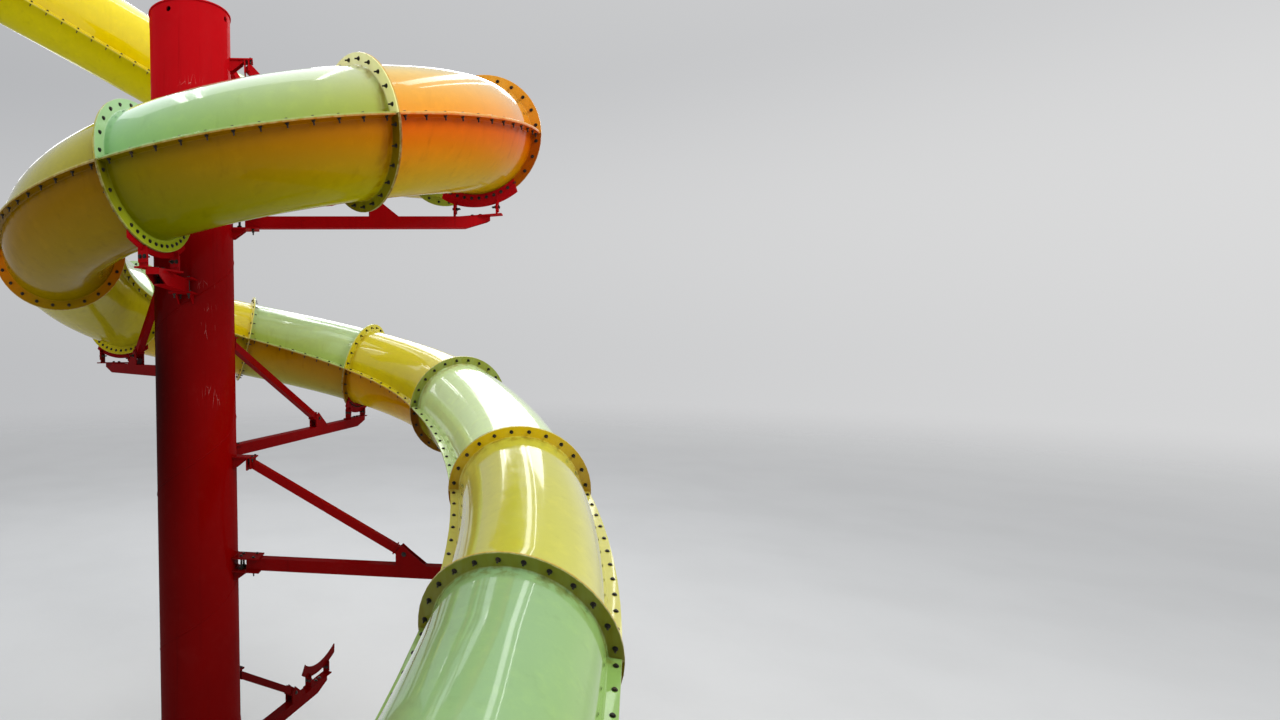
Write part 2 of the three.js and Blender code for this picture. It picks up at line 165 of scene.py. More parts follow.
class TubeSettings(PropertyGroup):
    shell_radius: FloatProperty(
        name="Shell radius", description="Outside radius of the tube's shell",
        default=0.547, **LENGTH)
    bore_radius: FloatProperty(
        name="Bore radius", description="Inside radius of the tube", default=0.535, **LENGTH)
    flange_radius: FloatProperty(
        name="Flange radius", description="Outside radius of a ring flange",
        default=0.645, **LENGTH)
    seam_radius: FloatProperty(
        name="Seam radius", description="Distance from the tube's axis to a seam flange's edge",
        default=0.629, **LENGTH)
    flange_thickness: FloatProperty(
        name="Flange thickness", description="Thickness of every flange",
        default=0.012, **LENGTH)
    fillet: FloatProperty(
        name="Root fillet", description="Radius between the shell and its flanges",
        default=0.010, **LENGTH)
    bolt_circle: FloatProperty(
        name="Bolt circle", description="Radius of the ring bolts' circle",
        default=0.597, **LENGTH)
    seam_pitch: FloatProperty(
        name="Seam bolt pitch", description="Distance between two bolts along a seam",
        default=0.200, **LENGTH)
    ring_bolts: IntProperty(
        name="Ring bolts", description="Number of bolts in a ring joint", default=24, min=6)
    green: FloatVectorProperty(
        name="Green tint", description="Tint over the green gel coat", default=WHITE, **COLOUR)
    yellow: FloatVectorProperty(
        name="Yellow tint", description="Tint over the yellow gel coat", default=WHITE, **COLOUR)


class SteelSettings(PropertyGroup):
    column_radius: FloatProperty(
        name="Column radius", description="Outside radius of the column",
        default=0.4065, **LENGTH)
    column_top: FloatProperty(
        name="Column top", description="Height of the pipe's upper end", default=8.985, **LENGTH)
    weld_pitch: FloatProperty(
        name="Weld pitch", description="Rise of the pipe's spiral weld in one turn",
        default=1.6, **LENGTH)
    beam_width: FloatProperty(
        name="Beam width", description="Width of a bracket's beam", default=0.110, **LENGTH)
    beam_height: FloatProperty(
        name="Beam height", description="Height of a bracket's beam", default=0.120, **LENGTH)
    brace_size: FloatProperty(
        name="Brace size", description="Side of a brace's square section",
        default=0.080, **LENGTH)
    # Painted light and shade: the red where the sun reaches, and the deeper red where the tube's
    # shade falls
    bright_red: FloatVectorProperty(
        name="Bright red", description="Paint where the sun reaches it",
        default=(0.48, 0.004, 0.008), **COLOUR)
    deep_red: FloatVectorProperty(
        name="Deep red", description="Paint in the tube's shade",
        default=(0.24, 0.001, 0.001), **COLOUR)
    bolt_colour: FloatVectorProperty(
        name="Bolt colour", description="Dark weathered bolts",
        default=(0.018, 0.016, 0.014), **COLOUR)


class StageSettings(PropertyGroup):
    camera_place: FloatVectorProperty(
        name="Camera place", description="Where the camera stands",
        default=(1.362, -7.200, 5.650), unit="LENGTH", subtype="TRANSLATION")
    camera_drop: FloatProperty(
        name="Camera drop", description="Angle of the view below the horizon",
        default=math.radians(0.797), **ANGLE)
    camera_roll: FloatProperty(
        name="Camera roll", description="Turn of the camera about its own axis",
        default=math.radians(-0.776), **ANGLE)
    focal_length: FloatProperty(
        name="Focal length", description="Lens over a 36 mm wide sensor, in millimetres",
        default=19.555, min=5.0)
    floor_radius: FloatProperty(
        name="Floor radius", description="Radius of the pale floor", default=70.0, **LENGTH)
    floor_colour: FloatVectorProperty(
        name="Floor colour", description="Colour of the pale floor",
        default=(0.62, 0.63, 0.64), **COLOUR)


def linear(text):
    """A colour written as six hex digits, as the shader takes it."""
    parts = []
    for i in (0, 2, 4):
        c = int(text[i:i + 2], 16) / 255
        parts.append(c / 12.92 if c <= 0.04045 else ((c + 0.055) / 1.055) ** 2.4)
    return tuple(parts)


def four_tones(text, tint):
    """Tinted tones at the seam's two ends and at the crown's two ends, from one tone
    for all, one each for seam and crown, or four."""
    tones = [tuple(c * t for c, t in zip(linear(tone), tint)) for tone in text.split()]
    return tones if len(tones) == 4 else [tones[0], tones[0], tones[-1], tones[-1]]


def polar(radius, angle):
    """The point of a circle at an angle in radians."""
    return radius * math.cos(angle), radius * math.sin(angle)


def full_turn(sides, start=0.0):
    """Angles evenly spaced round a circle, in radians."""
    return [start + 2 * math.pi * k / sides for k in range(sides)]


def arc(radius, first, last, spans):
    """Points of a circle between two angles in degrees."""
    return [polar(radius, math.radians(first + (last - first) * i / spans))
            for i in range(spans + 1)]


def stood(x, y, z, place):
    """The matrix of a place with these local axes."""
    return Matrix((
        (x[0], y[0], z[0], place[0]), (x[1], y[1], z[1], place[1]),
        (x[2], y[2], z[2], place[2]), (0.0, 0.0, 0.0, 1.0)))


def quarter(turns, axis):
    """A turn by a number of right angles."""
    return Matrix.Rotation(turns * math.pi / 2, 4, axis)


def linked(name, data):
    """A new object of the scene."""
    made = bpy.data.objects.new(name, data)
    bpy.context.scene.collection.objects.link(made)
    return made


class Value:
    """A shader socket; arithmetic on it adds Math nodes."""

    def __init__(self, finish, socket):
        self.finish = finish
        self.socket = socket

    def math(self, operation, first, second, clamp=False):
        return self.finish.value(
            0, "ShaderNodeMath", {"operation": operation, "use_clamp": clamp},
            {0: first, 1: second})

    def __add__(self, other):
        return self.math("ADD", self, other)

    __radd__ = __add__

    def __sub__(self, other):
        return self.math("SUBTRACT", self, other)

    def __rsub__(self, other):
        return self.math("SUBTRACT", other, self)

    def __mul__(self, other):
        return self.math("MULTIPLY", self, other)

    __rmul__ = __mul__

    def clamped(self):
        return self.math("ADD", self, 0.0, clamp=True)

    def between(self, low, high):
        """0 up to low, 1 from high on, and a smooth step between them."""
        return self.finish.value(
            0, "ShaderNodeMapRange", {"clamp": True, "interpolation_type": "SMOOTHSTEP"},
            {"Value": self, "From Min": low, "From Max": high})


class Finish:
    """One node material, named for the surface that it covers, or the studio's light."""

    SOCKETS = {
        "colour": "Base Color", "roughness": "Roughness", "metallic": "Metallic",
        "coat": "Coat Weight", "coat_roughness": "Coat Roughness",
        "specular": "Specular IOR Level", "alpha": "Alpha"}

    def __init__(self, name, surroundings=False):
        store = bpy.data.worlds if surroundings else bpy.data.materials
        self.material = store.new(name)
        self.material.use_nodes = True
        self.tree = self.material.node_tree
        self.shader = self.tree.nodes["Background" if surroundings else "Principled BSDF"]

    def feed(self, socket, value):
        if isinstance(value, Value):
            self.tree.links.new(value.socket, socket)
        elif socket.type == "RGBA" and len(value) == 3:
            socket.default_value = (*value, 1.0)
        else:
            socket.default_value = value

    def node(self, kind, settings, sockets):
        """A node of a kind: its settings come first, then its values and links."""
        node = self.tree.nodes.new(kind)
        for key, value in settings.items():
            setattr(node, key, value)
        for key, value in sockets.items():
            self.feed(node.inputs[key], value)
        return node

    def value(self, output, kind, settings, sockets):
        return Value(self, self.node(kind, settings, sockets).outputs[output])

    def place(self, output="Object"):
        return self.value(output, "ShaderNodeTexCoord", {}, {})

    def stretched(self, place, scale):
        return self.value(0, "ShaderNodeMapping", {}, {"Vector": place, "Scale": scale})

    def noise(self, place, scale, detail, roughness, distortion=0.0):
        return self.value("Fac", "ShaderNodeTexNoise", {}, {
            "Vector": place, "Scale": scale, "Detail": detail,
            "Roughness": roughness, "Distortion": distortion})

    def cells(self, place, scale):
        return self.value(
            "Distance", "ShaderNodeTexVoronoi", {"feature": "DISTANCE_TO_EDGE"},
            {"Vector": place, "Scale": scale})

    def painted(self, name):
        return self.value("Fac", "ShaderNodeAttribute", {"attribute_name": name}, {})

    def measured(self, operation, place, other):
        return self.value(
            "Value", "ShaderNodeVectorMath", {"operation": operation}, {0: place, 1: other})

    def height(self, place):
        return self.value("Z", "ShaderNodeSeparateXYZ", {}, {0: place})

    def mix(self, factor, first, second, blend="MIX"):
        return self.value(
            2, "ShaderNodeMix", {"data_type": "RGBA", "blend_type": blend},
            {0: factor, 6: first, 7: second})

    def stained(self, colour, share, stain):
        return self.mix(share, colour, stain, "MULTIPLY")

    def bump(self, height, distance, strength):
        self.feed(self.shader.inputs["Normal"], self.value("Normal", "ShaderNodeBump", {}, {
            "Height": height, "Distance": distance, "Strength": strength}))

    def set(self, **sockets):
        for key, value in sockets.items():
            self.feed(self.shader.inputs[self.SOCKETS[key]], value)


def gel_coat(name, tones, rings, soiling, gloss):
    """Glossy gel coat over fibreglass, toned along and round the half shell. The tones
    hold painted light: painted shade and painted reflection on the lower halves, painted
    highlight on the crowns, and painted light and shade on the ring flanges.
    """
    finish = Finish(name)
    place = finish.place()
    run = finish.painted("run")
    crown = finish.painted("crown").between(0.0, 0.9)

    def tone_with_painted_light(four):
        return finish.mix(crown, finish.mix(run, *four[:2]), finish.mix(run, *four[2:]))

    drift = finish.noise(place, scale=1.3, detail=3.0, roughness=0.55)
    colour = finish.stained(tone_with_painted_light(tones), drift.between(0.35, 0.75) * 0.16, (0.9, 0.86, 0.55))
    mottle = finish.noise(place, scale=9.0, detail=5.0, roughness=0.6)
    colour = finish.stained(colour, mottle.between(0.45, 0.8) * 0.5, (1.2, 1.18, 1.0))
    # Dirt that has run down, and next to the upper flange an orange-brown tint that is
    # partly dirt and partly a painted reflection of orange surroundings
    runs = finish.noise(
        finish.stretched(place, (7.0, 7.0, 0.55)), scale=1.6, detail=4.0, roughness=0.6)
    dirt = runs.between(0.52, 0.78) * soiling
    colour = finish.stained(colour, dirt, (0.30, 0.24, 0.07))
    dirt_and_painted_reflection = (1.0 - run.between(0.0, 0.07)) * runs.between(0.40, 0.62)
    colour = finish.stained(colour, dirt_and_painted_reflection * 0.75, (0.62, 0.42, 0.16))
    # Glass strands that show through
    strands = finish.noise(
        finish.stretched(place, (1.0, 1.6, 1.0)), scale=55.0, detail=2.0, roughness=0.7,
        distortion=0.8)
    colour = finish.stained(colour, strands.between(0.5, 0.9) * 0.4, (1.15, 1.17, 1.0))
    # Ring flanges in tones of their own, which are painted light and shade, and chalky edges
    flange = finish.painted("flange")
    colour = finish.mix(flange * (0.97 - drift * 0.2), colour, tone_with_painted_light(rings))
    rim = finish.painted("rim")
    chalk = finish.noise(place, scale=24.0, detail=3.0, roughness=0.65)
    colour = finish.mix(rim * chalk.between(0.25, 0.7) * 0.35, colour, (0.60, 0.55, 0.26))
    wear = finish.noise(place, scale=3.1, detail=4.0, roughness=0.6)
    finish.set(
        colour=colour,
        roughness=(wear.between(0.4, 0.8) * 0.10 + dirt * 0.35 + rim * 0.15 + 0.13).clamped(),
        coat=(1.0 - flange * 0.8) * (0.9 * gloss), coat_roughness=0.05,
        specular=0.15 * gloss)
    waves = finish.noise(place, scale=2.4, detail=2.0, roughness=0.4)
    ripple = finish.noise(place, scale=11.0, detail=2.0, roughness=0.5)
    finish.bump(
        waves * 0.75 + ripple * 0.06 + strands * 0.004, distance=0.012, strength=0.6)
    return finish.material


def red_paint(name, bright, deep, low, high, shaded, sheen, scratches=()):
    """Gloss paint on steel, with painted light and shade in its colour: bright above the
    height high as painted sunlight, deep below low and darker towards the foot as painted
    shade. The deep part also gets painted shade away from the sun, over a width that
    shaded gives. Each scratched spot has a place and a radius."""
    finish = Finish(name)
    place = finish.place()
    height = finish.height(place)
    # Painted light and shade: sunlit red up high, deep red below, darker still towards the foot
    # and away from the sun side
    sunlit = height.between(low, high)
    lift = height.between(2.2, 5.4)
    colour = finish.mix((1.0 - lift) * 0.38, finish.mix(sunlit, deep, bright), BLACK)
    across = finish.measured("DOT_PRODUCT", place, SUN_SIDE)
    side = across.between(-0.85 * shaded, 1.15 * shaded)
    shade = (1.0 - side) * (1.0 - sunlit) * (lift * 0.5 + 0.45)
    colour = finish.stained(colour, shade, (0.02, 0.01, 0.01))
    drift = finish.noise(place, scale=1.1, detail=4.0, roughness=0.6)
    colour = finish.stained(colour, drift.between(0.3, 0.8) * 0.35, (0.62, 0.30, 0.34))
    # Grime that has run down, chips and dust
    runs = finish.noise(
        finish.stretched(place, (14.0, 14.0, 0.5)), scale=1.4, detail=5.0, roughness=0.62)
    grime = runs.between(0.55, 0.8) * 0.45
    colour = finish.stained(colour, grime, (0.35, 0.16, 0.12))
    chipped = finish.noise(place, scale=38.0, detail=3.0, roughness=0.7)
    chips = chipped.between(0.755, 0.775) * drift.between(0.45, 0.7)
    colour = finish.mix(chips * 0.7, colour, (0.16, 0.05, 0.04))
    dust = finish.noise(place, scale=6.0, detail=6.0, roughness=0.7).between(0.5, 0.85)
    colour = finish.mix(dust * 0.03, colour, (0.45, 0.11, 0.10))
    if scratches:
        spots = [
            1.0 - finish.measured("DISTANCE", place, point).between(0.3 * radius, radius)
            for point, radius in scratches]
        line = finish.cells(finish.stretched(place, (5.0, 5.0, 0.8)), scale=5.0)
        broken = finish.noise(place, scale=7.0, detail=2.0, roughness=0.5).between(0.50, 0.60)
        scratch = (1.0 - line.between(0.004, 0.014)) * sum(spots[1:], spots[0]) * broken
        colour = finish.mix(scratch.clamped() * 0.6, colour, (0.72, 0.42, 0.40))
    wear = finish.noise(place, scale=2.6, detail=4.0, roughness=0.6)
    finish.set(
        colour=colour,
        roughness=(wear.between(0.35, 0.8) * 0.14 + grime * 0.3 + chips * 0.3 + 0.24).clamped(),
        coat=sheen, coat_roughness=0.12, specular=0.0)
    peel = finish.noise(place, scale=160.0, detail=2.0, roughness=0.5)
    dents = finish.noise(place, scale=3.2, detail=2.0, roughness=0.4)
    finish.bump(dents * 0.35 + peel * 0.012 - chips * 0.04, distance=0.008, strength=0.6)
    return finish.material


def dark_steel(name, colour):
    """Weathered bolts with brown staining."""
    finish = Finish(name)
    place = finish.place()
    stain = finish.noise(place, scale=14.0, detail=4.0, roughness=0.7)
    grain = finish.noise(place, scale=190.0, detail=2.0, roughness=0.6)
    brown = stain.between(0.45, 0.75)
    tone = finish.mix(brown * 0.6, colour, (0.075, 0.042, 0.020))
    tone = finish.mix(grain.between(0.55, 0.8) * 0.3, tone, (0.16, 0.155, 0.145))
    finish.set(colour=tone, metallic=0.55 - brown * 0.35, roughness=grain * 0.25 + 0.32)
    finish.bump(grain * 0.5 + stain * 0.5, distance=0.0008, strength=0.7)
    return finish.material


def pale_floor(name, colour):
    """Matt floor with a faint cloudiness, clear towards its edge."""
    finish = Finish(name)
    place = finish.place()
    cloud = finish.noise(place, scale=0.35, detail=4.0, roughness=0.5)
    fine = finish.noise(place, scale=8.0, detail=5.0, roughness=0.6)
    darker = tuple(c * 0.93 for c in colour)
    finish.set(
        colour=finish.mix(cloud.between(0.35, 0.7) * 0.6 + fine * 0.2, colour, darker),
        roughness=fine * 0.1 + 0.62,
        alpha=1.0 - finish.measured("DISTANCE", place, (0.0, 0.0, 0.0)).between(14.0, 62.0))
    finish.bump(fine, distance=0.001, strength=0.3)
    return finish.material


def studio_light(name, dim, bright, strength):
    """Even light all round, brighter from the right and above and at the horizon."""
    finish = Finish(name, True)
    way = finish.place("Generated")
    share = finish.measured("DOT_PRODUCT", way, SKY_SIDE) * 0.5 + 0.5
    level = finish.height(way)
    share = share + (1.0 - (level * level).between(0.0, 0.12)) * 0.25
    share = share + (1.0 - level.between(-0.35, 0.0)) * 0.2
    finish.feed(finish.shader.inputs["Color"], finish.mix(share.clamped(), dim, bright))
    finish.feed(finish.shader.inputs["Strength"], strength)
    return finish.material


class Station:
    """A place on the tube's axis, with its travel direction, left and up."""

    def __init__(self, point, heading, slope):
        h = math.radians(heading)
        s = math.radians(slope)
        self.point = point
        self.heading = heading
        self.slope = slope
        self.along = Vector((
            math.cos(h) * math.cos(s), math.sin(h) * math.cos(s), -math.sin(s)))
        self.left = Vector((-math.sin(h), math.cos(h), 0.0))
        self.up = self.along.cross(self.left)

    def rolled(self, roll):
        """The same place, turned about the travel direction."""
        c, s = polar(1.0, math.radians(roll))
        turned = copy(self)
        turned.left = self.left * c + self.up * s
        turned.up = self.up * c - self.left * s
        return turned

    def shifted(self, distance):
        moved = copy(self)
        moved.point = self.point + self.along * distance
        return moved

    def at(self, u, v, along=0.0):
        return self.point + self.left * u + self.up * v + self.along * along

    def matrix(self, u=0.0, v=0.0, along=0.0):
        """Local x to the left, y up and z along the travel."""
        return stood(self.left, self.up, self.along, self.at(u, v, along))


def walk_bay(start, length, turn, end_slope):
    """Every fine station of one bay, from its upper flange to its lower one."""
    steps = max(1, math.ceil(abs(turn) / TURN_PER_SPAN)) * FINE_STEPS

    def after(point, share):
        slope = start.slope + (end_slope - start.slope) * share
        return Station(point, start.heading + turn * share, slope)

    stations = [start]
    for i in range(steps):
        point = stations[-1].point
        point = point + after(point, (i + 0.5) / steps).along * (length / steps)
        stations.append(after(point, (i + 1) / steps))
    return stations


Bay = namedtuple("Bay", "name coat roll stations")


def walk_slide():
    """Every bay from the top down, with the turn of its seams and its stations."""
    bays = []
    start = Station(START, START_HEADING, START_SLOPE)
    for number, (length, turn, end_slope) in enumerate(BAYS, 1):
        stations = walk_bay(start, length, turn, end_slope)
        bays.append(Bay(
            f"s{number:02d}", "yellow" if number % 2 else "green",
            FIRST_SEAM_TURN if number == 1 else 0.0, stations))
        start = stations[-1]
    return bays


# The eased edge of a plate, and the least angle of an edge that is eased
EASE = 0.0015
SHARP = math.radians(25)
# How thin and how thick a weld bead gets, as a share of its radius
BEAD_THIN = 0.85
BEAD_THICK = 1.15


def skin(part, rows, closed):
    """Faces between neighbouring rows of vertices, and from the last row to the first
    where closed."""
    for here, there in zip(rows, rows[1:] + rows[:1] if closed else rows[1:]):
        for k in range(len(here)):
            n = (k + 1) % len(here)
            corners = list(dict.fromkeys((here[k], here[n], there[n], there[k])))
            if len(corners) > 2:
                part.faces.new(corners)


class Solids:
    """Gathers plates, bars and beads into one mesh."""

    def __init__(self):
        self.mesh = bmesh.new()

    def take(self, part, matrix=None):
        if matrix is not None:
            part.transform(matrix)
        bmesh.ops.recalc_face_normals(part, faces=part.faces)
        holder = bpy.data.meshes.new("part")
        part.to_mesh(holder)
        part.free()
        self.mesh.from_mesh(holder)
        bpy.data.meshes.remove(holder)

    def plate(self, points, depth, matrix, bevel=EASE, segments=2):
        """A flat outline in local x and y, made solid along local z."""
        part = bmesh.new()
        low = [part.verts.new((x, y, 0.0)) for x, y in points]
        high = [part.verts.new((x, y, depth)) for x, y in points]
        part.faces.new(low[::-1])
        part.faces.new(high)
        skin(part, [low, high], False)
        edges = [e for e in part.edges if e.calc_face_angle(0.0) > SHARP]
        bmesh.ops.bevel(
            part, geom=edges, offset=bevel, segments=segments, profile=0.5,
            affect="EDGES", clamp_overlap=True)
        self.take(part, matrix)

    def prism(self, points, y0, y1, turn, bevel=EASE, segments=2):
        """An outline in x and z, made solid from y0 to y1."""
        stand = stood((1, 0, 0), (0, 0, 1), (0, -1, 0), (0, y1, 0))
        self.plate(points, y1 - y0, turn @ stand, bevel, segments)

    def slab(self, x0, x1, y0, y1, z0, z1, turn, bevel=EASE, segments=2):
        self.prism([(x0, z0), (x1, z0), (x1, z1), (x0, z1)], y0, y1, turn, bevel, segments)

    def bar(self, start, end, width, turn, bevel):
        """A square section between two points of the x-z plane."""
        (x0, z0), (x1, z1) = start, end
        length = math.hypot(x1 - x0, z1 - z0)
        tilt = math.atan2(z1 - z0, x1 - x0)
        place = turn @ Matrix.Translation((x0, 0.0, z0)) @ Matrix.Rotation(-tilt, 4, "Y")
        half = width / 2
        self.slab(0.0, length, -half, half, -half, half, place, bevel, segments=3)

    def bead(self, points, radius, seed, sides=6, closed=False):
        """A weld bead along points, uneven as a real one is."""
        chance = random.Random(seed)
        part = bmesh.new()
        rows = []
        last = len(points) - 1
        for i, point in enumerate(points):
            after = points[(i + 1) % len(points)] if closed else points[min(i + 1, last)]
            before = points[i - 1] if closed else points[max(i - 1, 0)]
            way = (after - before).normalized()
            side = way.orthogonal() if abs(way.z) > 0.95 else way.cross(Vector((0, 0, 1)))
            side.normalize()
            lift = side.cross(way)
            size = radius * (BEAD_THIN + (BEAD_THICK - BEAD_THIN) * chance.random())
            rows.append([])
            for a in full_turn(sides):
                u, v = polar(size, a)
                rows[-1].append(part.verts.new(point + side * u + lift * v))
        skin(part, rows, closed)
        if not closed:
            part.faces.new(rows[0][::-1])
            part.faces.new(rows[-1])
        self.take(part)

    def straight_bead(self, start, end, turn, spans, radius, seed):
        self.bead([
            turn @ Vector(a + (b - a) * k / spans for a, b in zip(start, end))
            for k in range(spans + 1)], radius, seed)

    def turned(self, profile, sides, matrix=None):
        """A closed body of revolution about z from points of radius and height."""
        part = bmesh.new()
        rows = []
        for radius, z in profile:
            if radius > 0:
                rows.append([part.verts.new((*polar(radius, a), z)) for a in full_turn(sides)])
            else:
                rows.append([part.verts.new((0.0, 0.0, z))] * sides)
        skin(part, rows, True)
        self.take(part, matrix)

    def data(self, name):
        made = bpy.data.meshes.new(name)
        self.mesh.to_mesh(made)
        self.mesh.free()
        return made

    def piece(self, name, paint, replaces=(), angle=35.0):
        return finished(name, self.data(name), paint, angle, replaces)


def finished(name, mesh, material, angle, replaces=()):
    """Puts a mesh in the scene as a piece that rides on the tower, smooth up to this
    angle between faces."""
    mesh.polygons.foreach_set("use_smooth", [True] * len(mesh.polygons))
    mesh.set_sharp_from_angle(angle=math.radians(angle))
    mesh.materials.append(material)
    piece = linked(name, mesh)
    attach(piece, BODY)
    if replaces:
        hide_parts(*replaces)
    return piece


def carved(piece, knife):
    """Takes the solids of knife away from a piece."""
    mesh = knife.data("knife")
    cutter = linked("knife", mesh)
    cut = piece.modifiers.new("holes", "BOOLEAN")
    cut.operation = "DIFFERENCE"
    cut.solver = "EXACT"
    cut.object = cutter
    seen = piece.evaluated_get(bpy.context.evaluated_depsgraph_get())
    result = bpy.data.meshes.new_from_object(seen)
    piece.modifiers.clear()
    old = piece.data
    piece.data = result
    result.name = old.name
    bpy.data.meshes.remove(old)
    bpy.data.objects.remove(cutter)
    bpy.data.meshes.remove(mesh)


DRILL_SIDES = 20


def drilled(piece, places, radius, depth):
    """Cuts round holes through a piece; each place has its axis along local z."""
    drill = Solids()
    for matrix in places:
        drill.turned([
            (0.0, -depth), (radius, -depth), (radius, depth), (0.0, depth)], DRILL_SIDES, matrix)
    carved(piece, drill)


# Half shells: faces round the outside and in a fillet, fine stations from one row of
# points to the next, the eased edge of a flange, and its bolt holes
ARC_SPANS = 26
FILLET_SPANS = 4
ROW_STEP = 3
EDGE = 0.0015
HOLE_RADIUS = 0.009
HOLE_DEPTH = 0.03
# Each half's name, side, soiling and gloss
HALVES = (("upper", 1, 0.10, 1.0), ("lower", -1, 0.20, 0.13))


def outer_points(tube, radius, seam):
    """The outside of the upper half, from the right seam to the left one. With no
    seam given the points lie on one circle."""
    wide = JOINT_GAP / 2
    thick = tube.flange_thickness + wide
    turn_v = thick + tube.fillet
    shell = radius if seam else tube.shell_radius
    turn_u = math.sqrt((shell + tube.fillet) ** 2 - turn_v ** 2)
    low = math.degrees(math.atan2(turn_v, turn_u))
    if seam:
        side = [(seam, wide), (seam, thick - EDGE), (seam - EDGE, thick)]
        for u, v in arc(tube.fillet, 270.0, 180.0 + low, FILLET_SPANS)[:-1]:
            side.append((turn_u + u, turn_v + v))
    else:
        start = math.degrees(math.asin(wide / radius))
        side = arc(radius, start, low, 3 + FILLET_SPANS)[:-1]
    crown = arc(radius, low, 180.0 - low, ARC_SPANS)
    return side + crown + [(-u, v) for u, v in reversed(side)]


def half_rows(tube, places):
    """Sections of a half shell: each has a place, outside points, the share of the
    bay's length, how far it is on a ring flange and whether it is on the flange's edge."""
    thick, fillet, ring = tube.flange_thickness, tube.fillet, tube.flange_radius
    root = [(distance, radius, None, 1.0) for distance, radius in (
        (0.0, ring - EDGE), (EDGE, ring), (thick - EDGE, ring), (thick, ring - EDGE),
        (thick, ring - 4 * EDGE))]
    for i in range(FILLET_SPANS + 1):
        u, v = polar(fillet, math.pi / 2 * i / FILLET_SPANS)
        root.append((
            thick + fillet - u, tube.shell_radius + fillet - v, tube.seam_radius,
            1.0 - i / FILLET_SPANS))

    def end_rows(place, way, share):
        return [(
            place.shifted(way * (JOINT_GAP / 2 + distance)), outer_points(tube, radius, seam),
            share, flange, radius > ring - 2 * EDGE) for distance, radius, seam, flange in root]

    count = len(places) - 1
    outside = outer_points(tube, tube.shell_radius, tube.seam_radius)
    middle = [(places[i], outside, i / count, 0.0, False)
              for i in range(ROW_STEP, count + 1 - ROW_STEP, ROW_STEP)]
    return end_rows(places[0], 1, 0.0) + middle + end_rows(places[-1], -1, 1.0)[::-1]


def half_shell(tube, bay, half, side, material):
    """One half of a bay, with what its gel coat needs to know at every point: how far
    down the bay and round the crown it is, and whether on an edge or a ring flange."""
    rows = half_rows(tube, [place.rolled(bay.roll) for place in bay.stations])
    count = len(rows[0][1])
    lowest = math.degrees(math.asin(JOINT_GAP / 2 / tube.bore_radius))
    bore = arc(tube.bore_radius, 180.0 - lowest, lowest, count - 1)
    points = []
    marks = {"run": [], "crown": [], "rim": [], "flange": []}
    for place, outside, share, on_ring, on_rim in rows:
        for i, (u, v) in enumerate(outside + bore):
            points.append(place.at(u, v * side))
            marks["run"].append(share)
            marks["crown"].append(abs(math.degrees(math.atan2(v, abs(u)))) / 90.0)
            on_seam = i < 2 or i >= count - 2
            marks["rim"].append(float(i < count and (on_seam or on_rim)))
            marks["flange"].append(on_ring if i < count else 0.0)
    loop = 2 * count
    faces = []
    for low in range(0, len(points) - loop, loop):
        for i in range(loop):
            j = (i + 1) % loop
            faces.append((low + i, low + j, low + loop + j, low + loop + i))
    for low in (0, len(points) - loop):
        for i in range(count - 1):
            inner = low + loop - 1 - i
            faces.append((low + i, low + i + 1, inner - 1, inner))
    name = f"shell_{bay.name}_{half}"
    mesh = bpy.data.meshes.new(name)
    mesh.from_pydata(points, [], faces)
    for label, values in marks.items():
        mesh.attributes.new(label, "FLOAT", "POINT").data.foreach_set("value", values)
    shape = bmesh.new()
    shape.from_mesh(mesh)
    bmesh.ops.recalc_face_normals(shape, faces=shape.faces)
    shape.to_mesh(mesh)
    shape.free()
    nodes = [part["node"] for part in frame["record"]["subparts"]
             if part["node"].startswith(f"tube_{bay.name}_{half}")]
    return finished(name, mesh, material, angle=32.0, replaces=nodes)


def flange_holes(tube, place, side):
    """The bolt holes of one half of an open ring flange."""
    holes = [polar(tube.bolt_circle, a)
             for a in full_turn(tube.ring_bolts, math.pi / tube.ring_bolts)]
    return [place.matrix(u, v) for u, v in holes if v * side > 0]


# Bolts, and how much of the radius is left on a washer's and a hexagon's face
WASHER_RADIUS = 0.0175
WASHER_THICK = 0.003
WASHER_FACE = 0.95
HEAD_RADIUS = 0.0127
HEAD_HEIGHT = 0.009
HEX_FACE = 0.86
NUT_HEIGHT = 0.011
THREAD_RADIUS = 0.0068
THREAD_STUB = 0.024
ANCHOR_STUB = 0.028


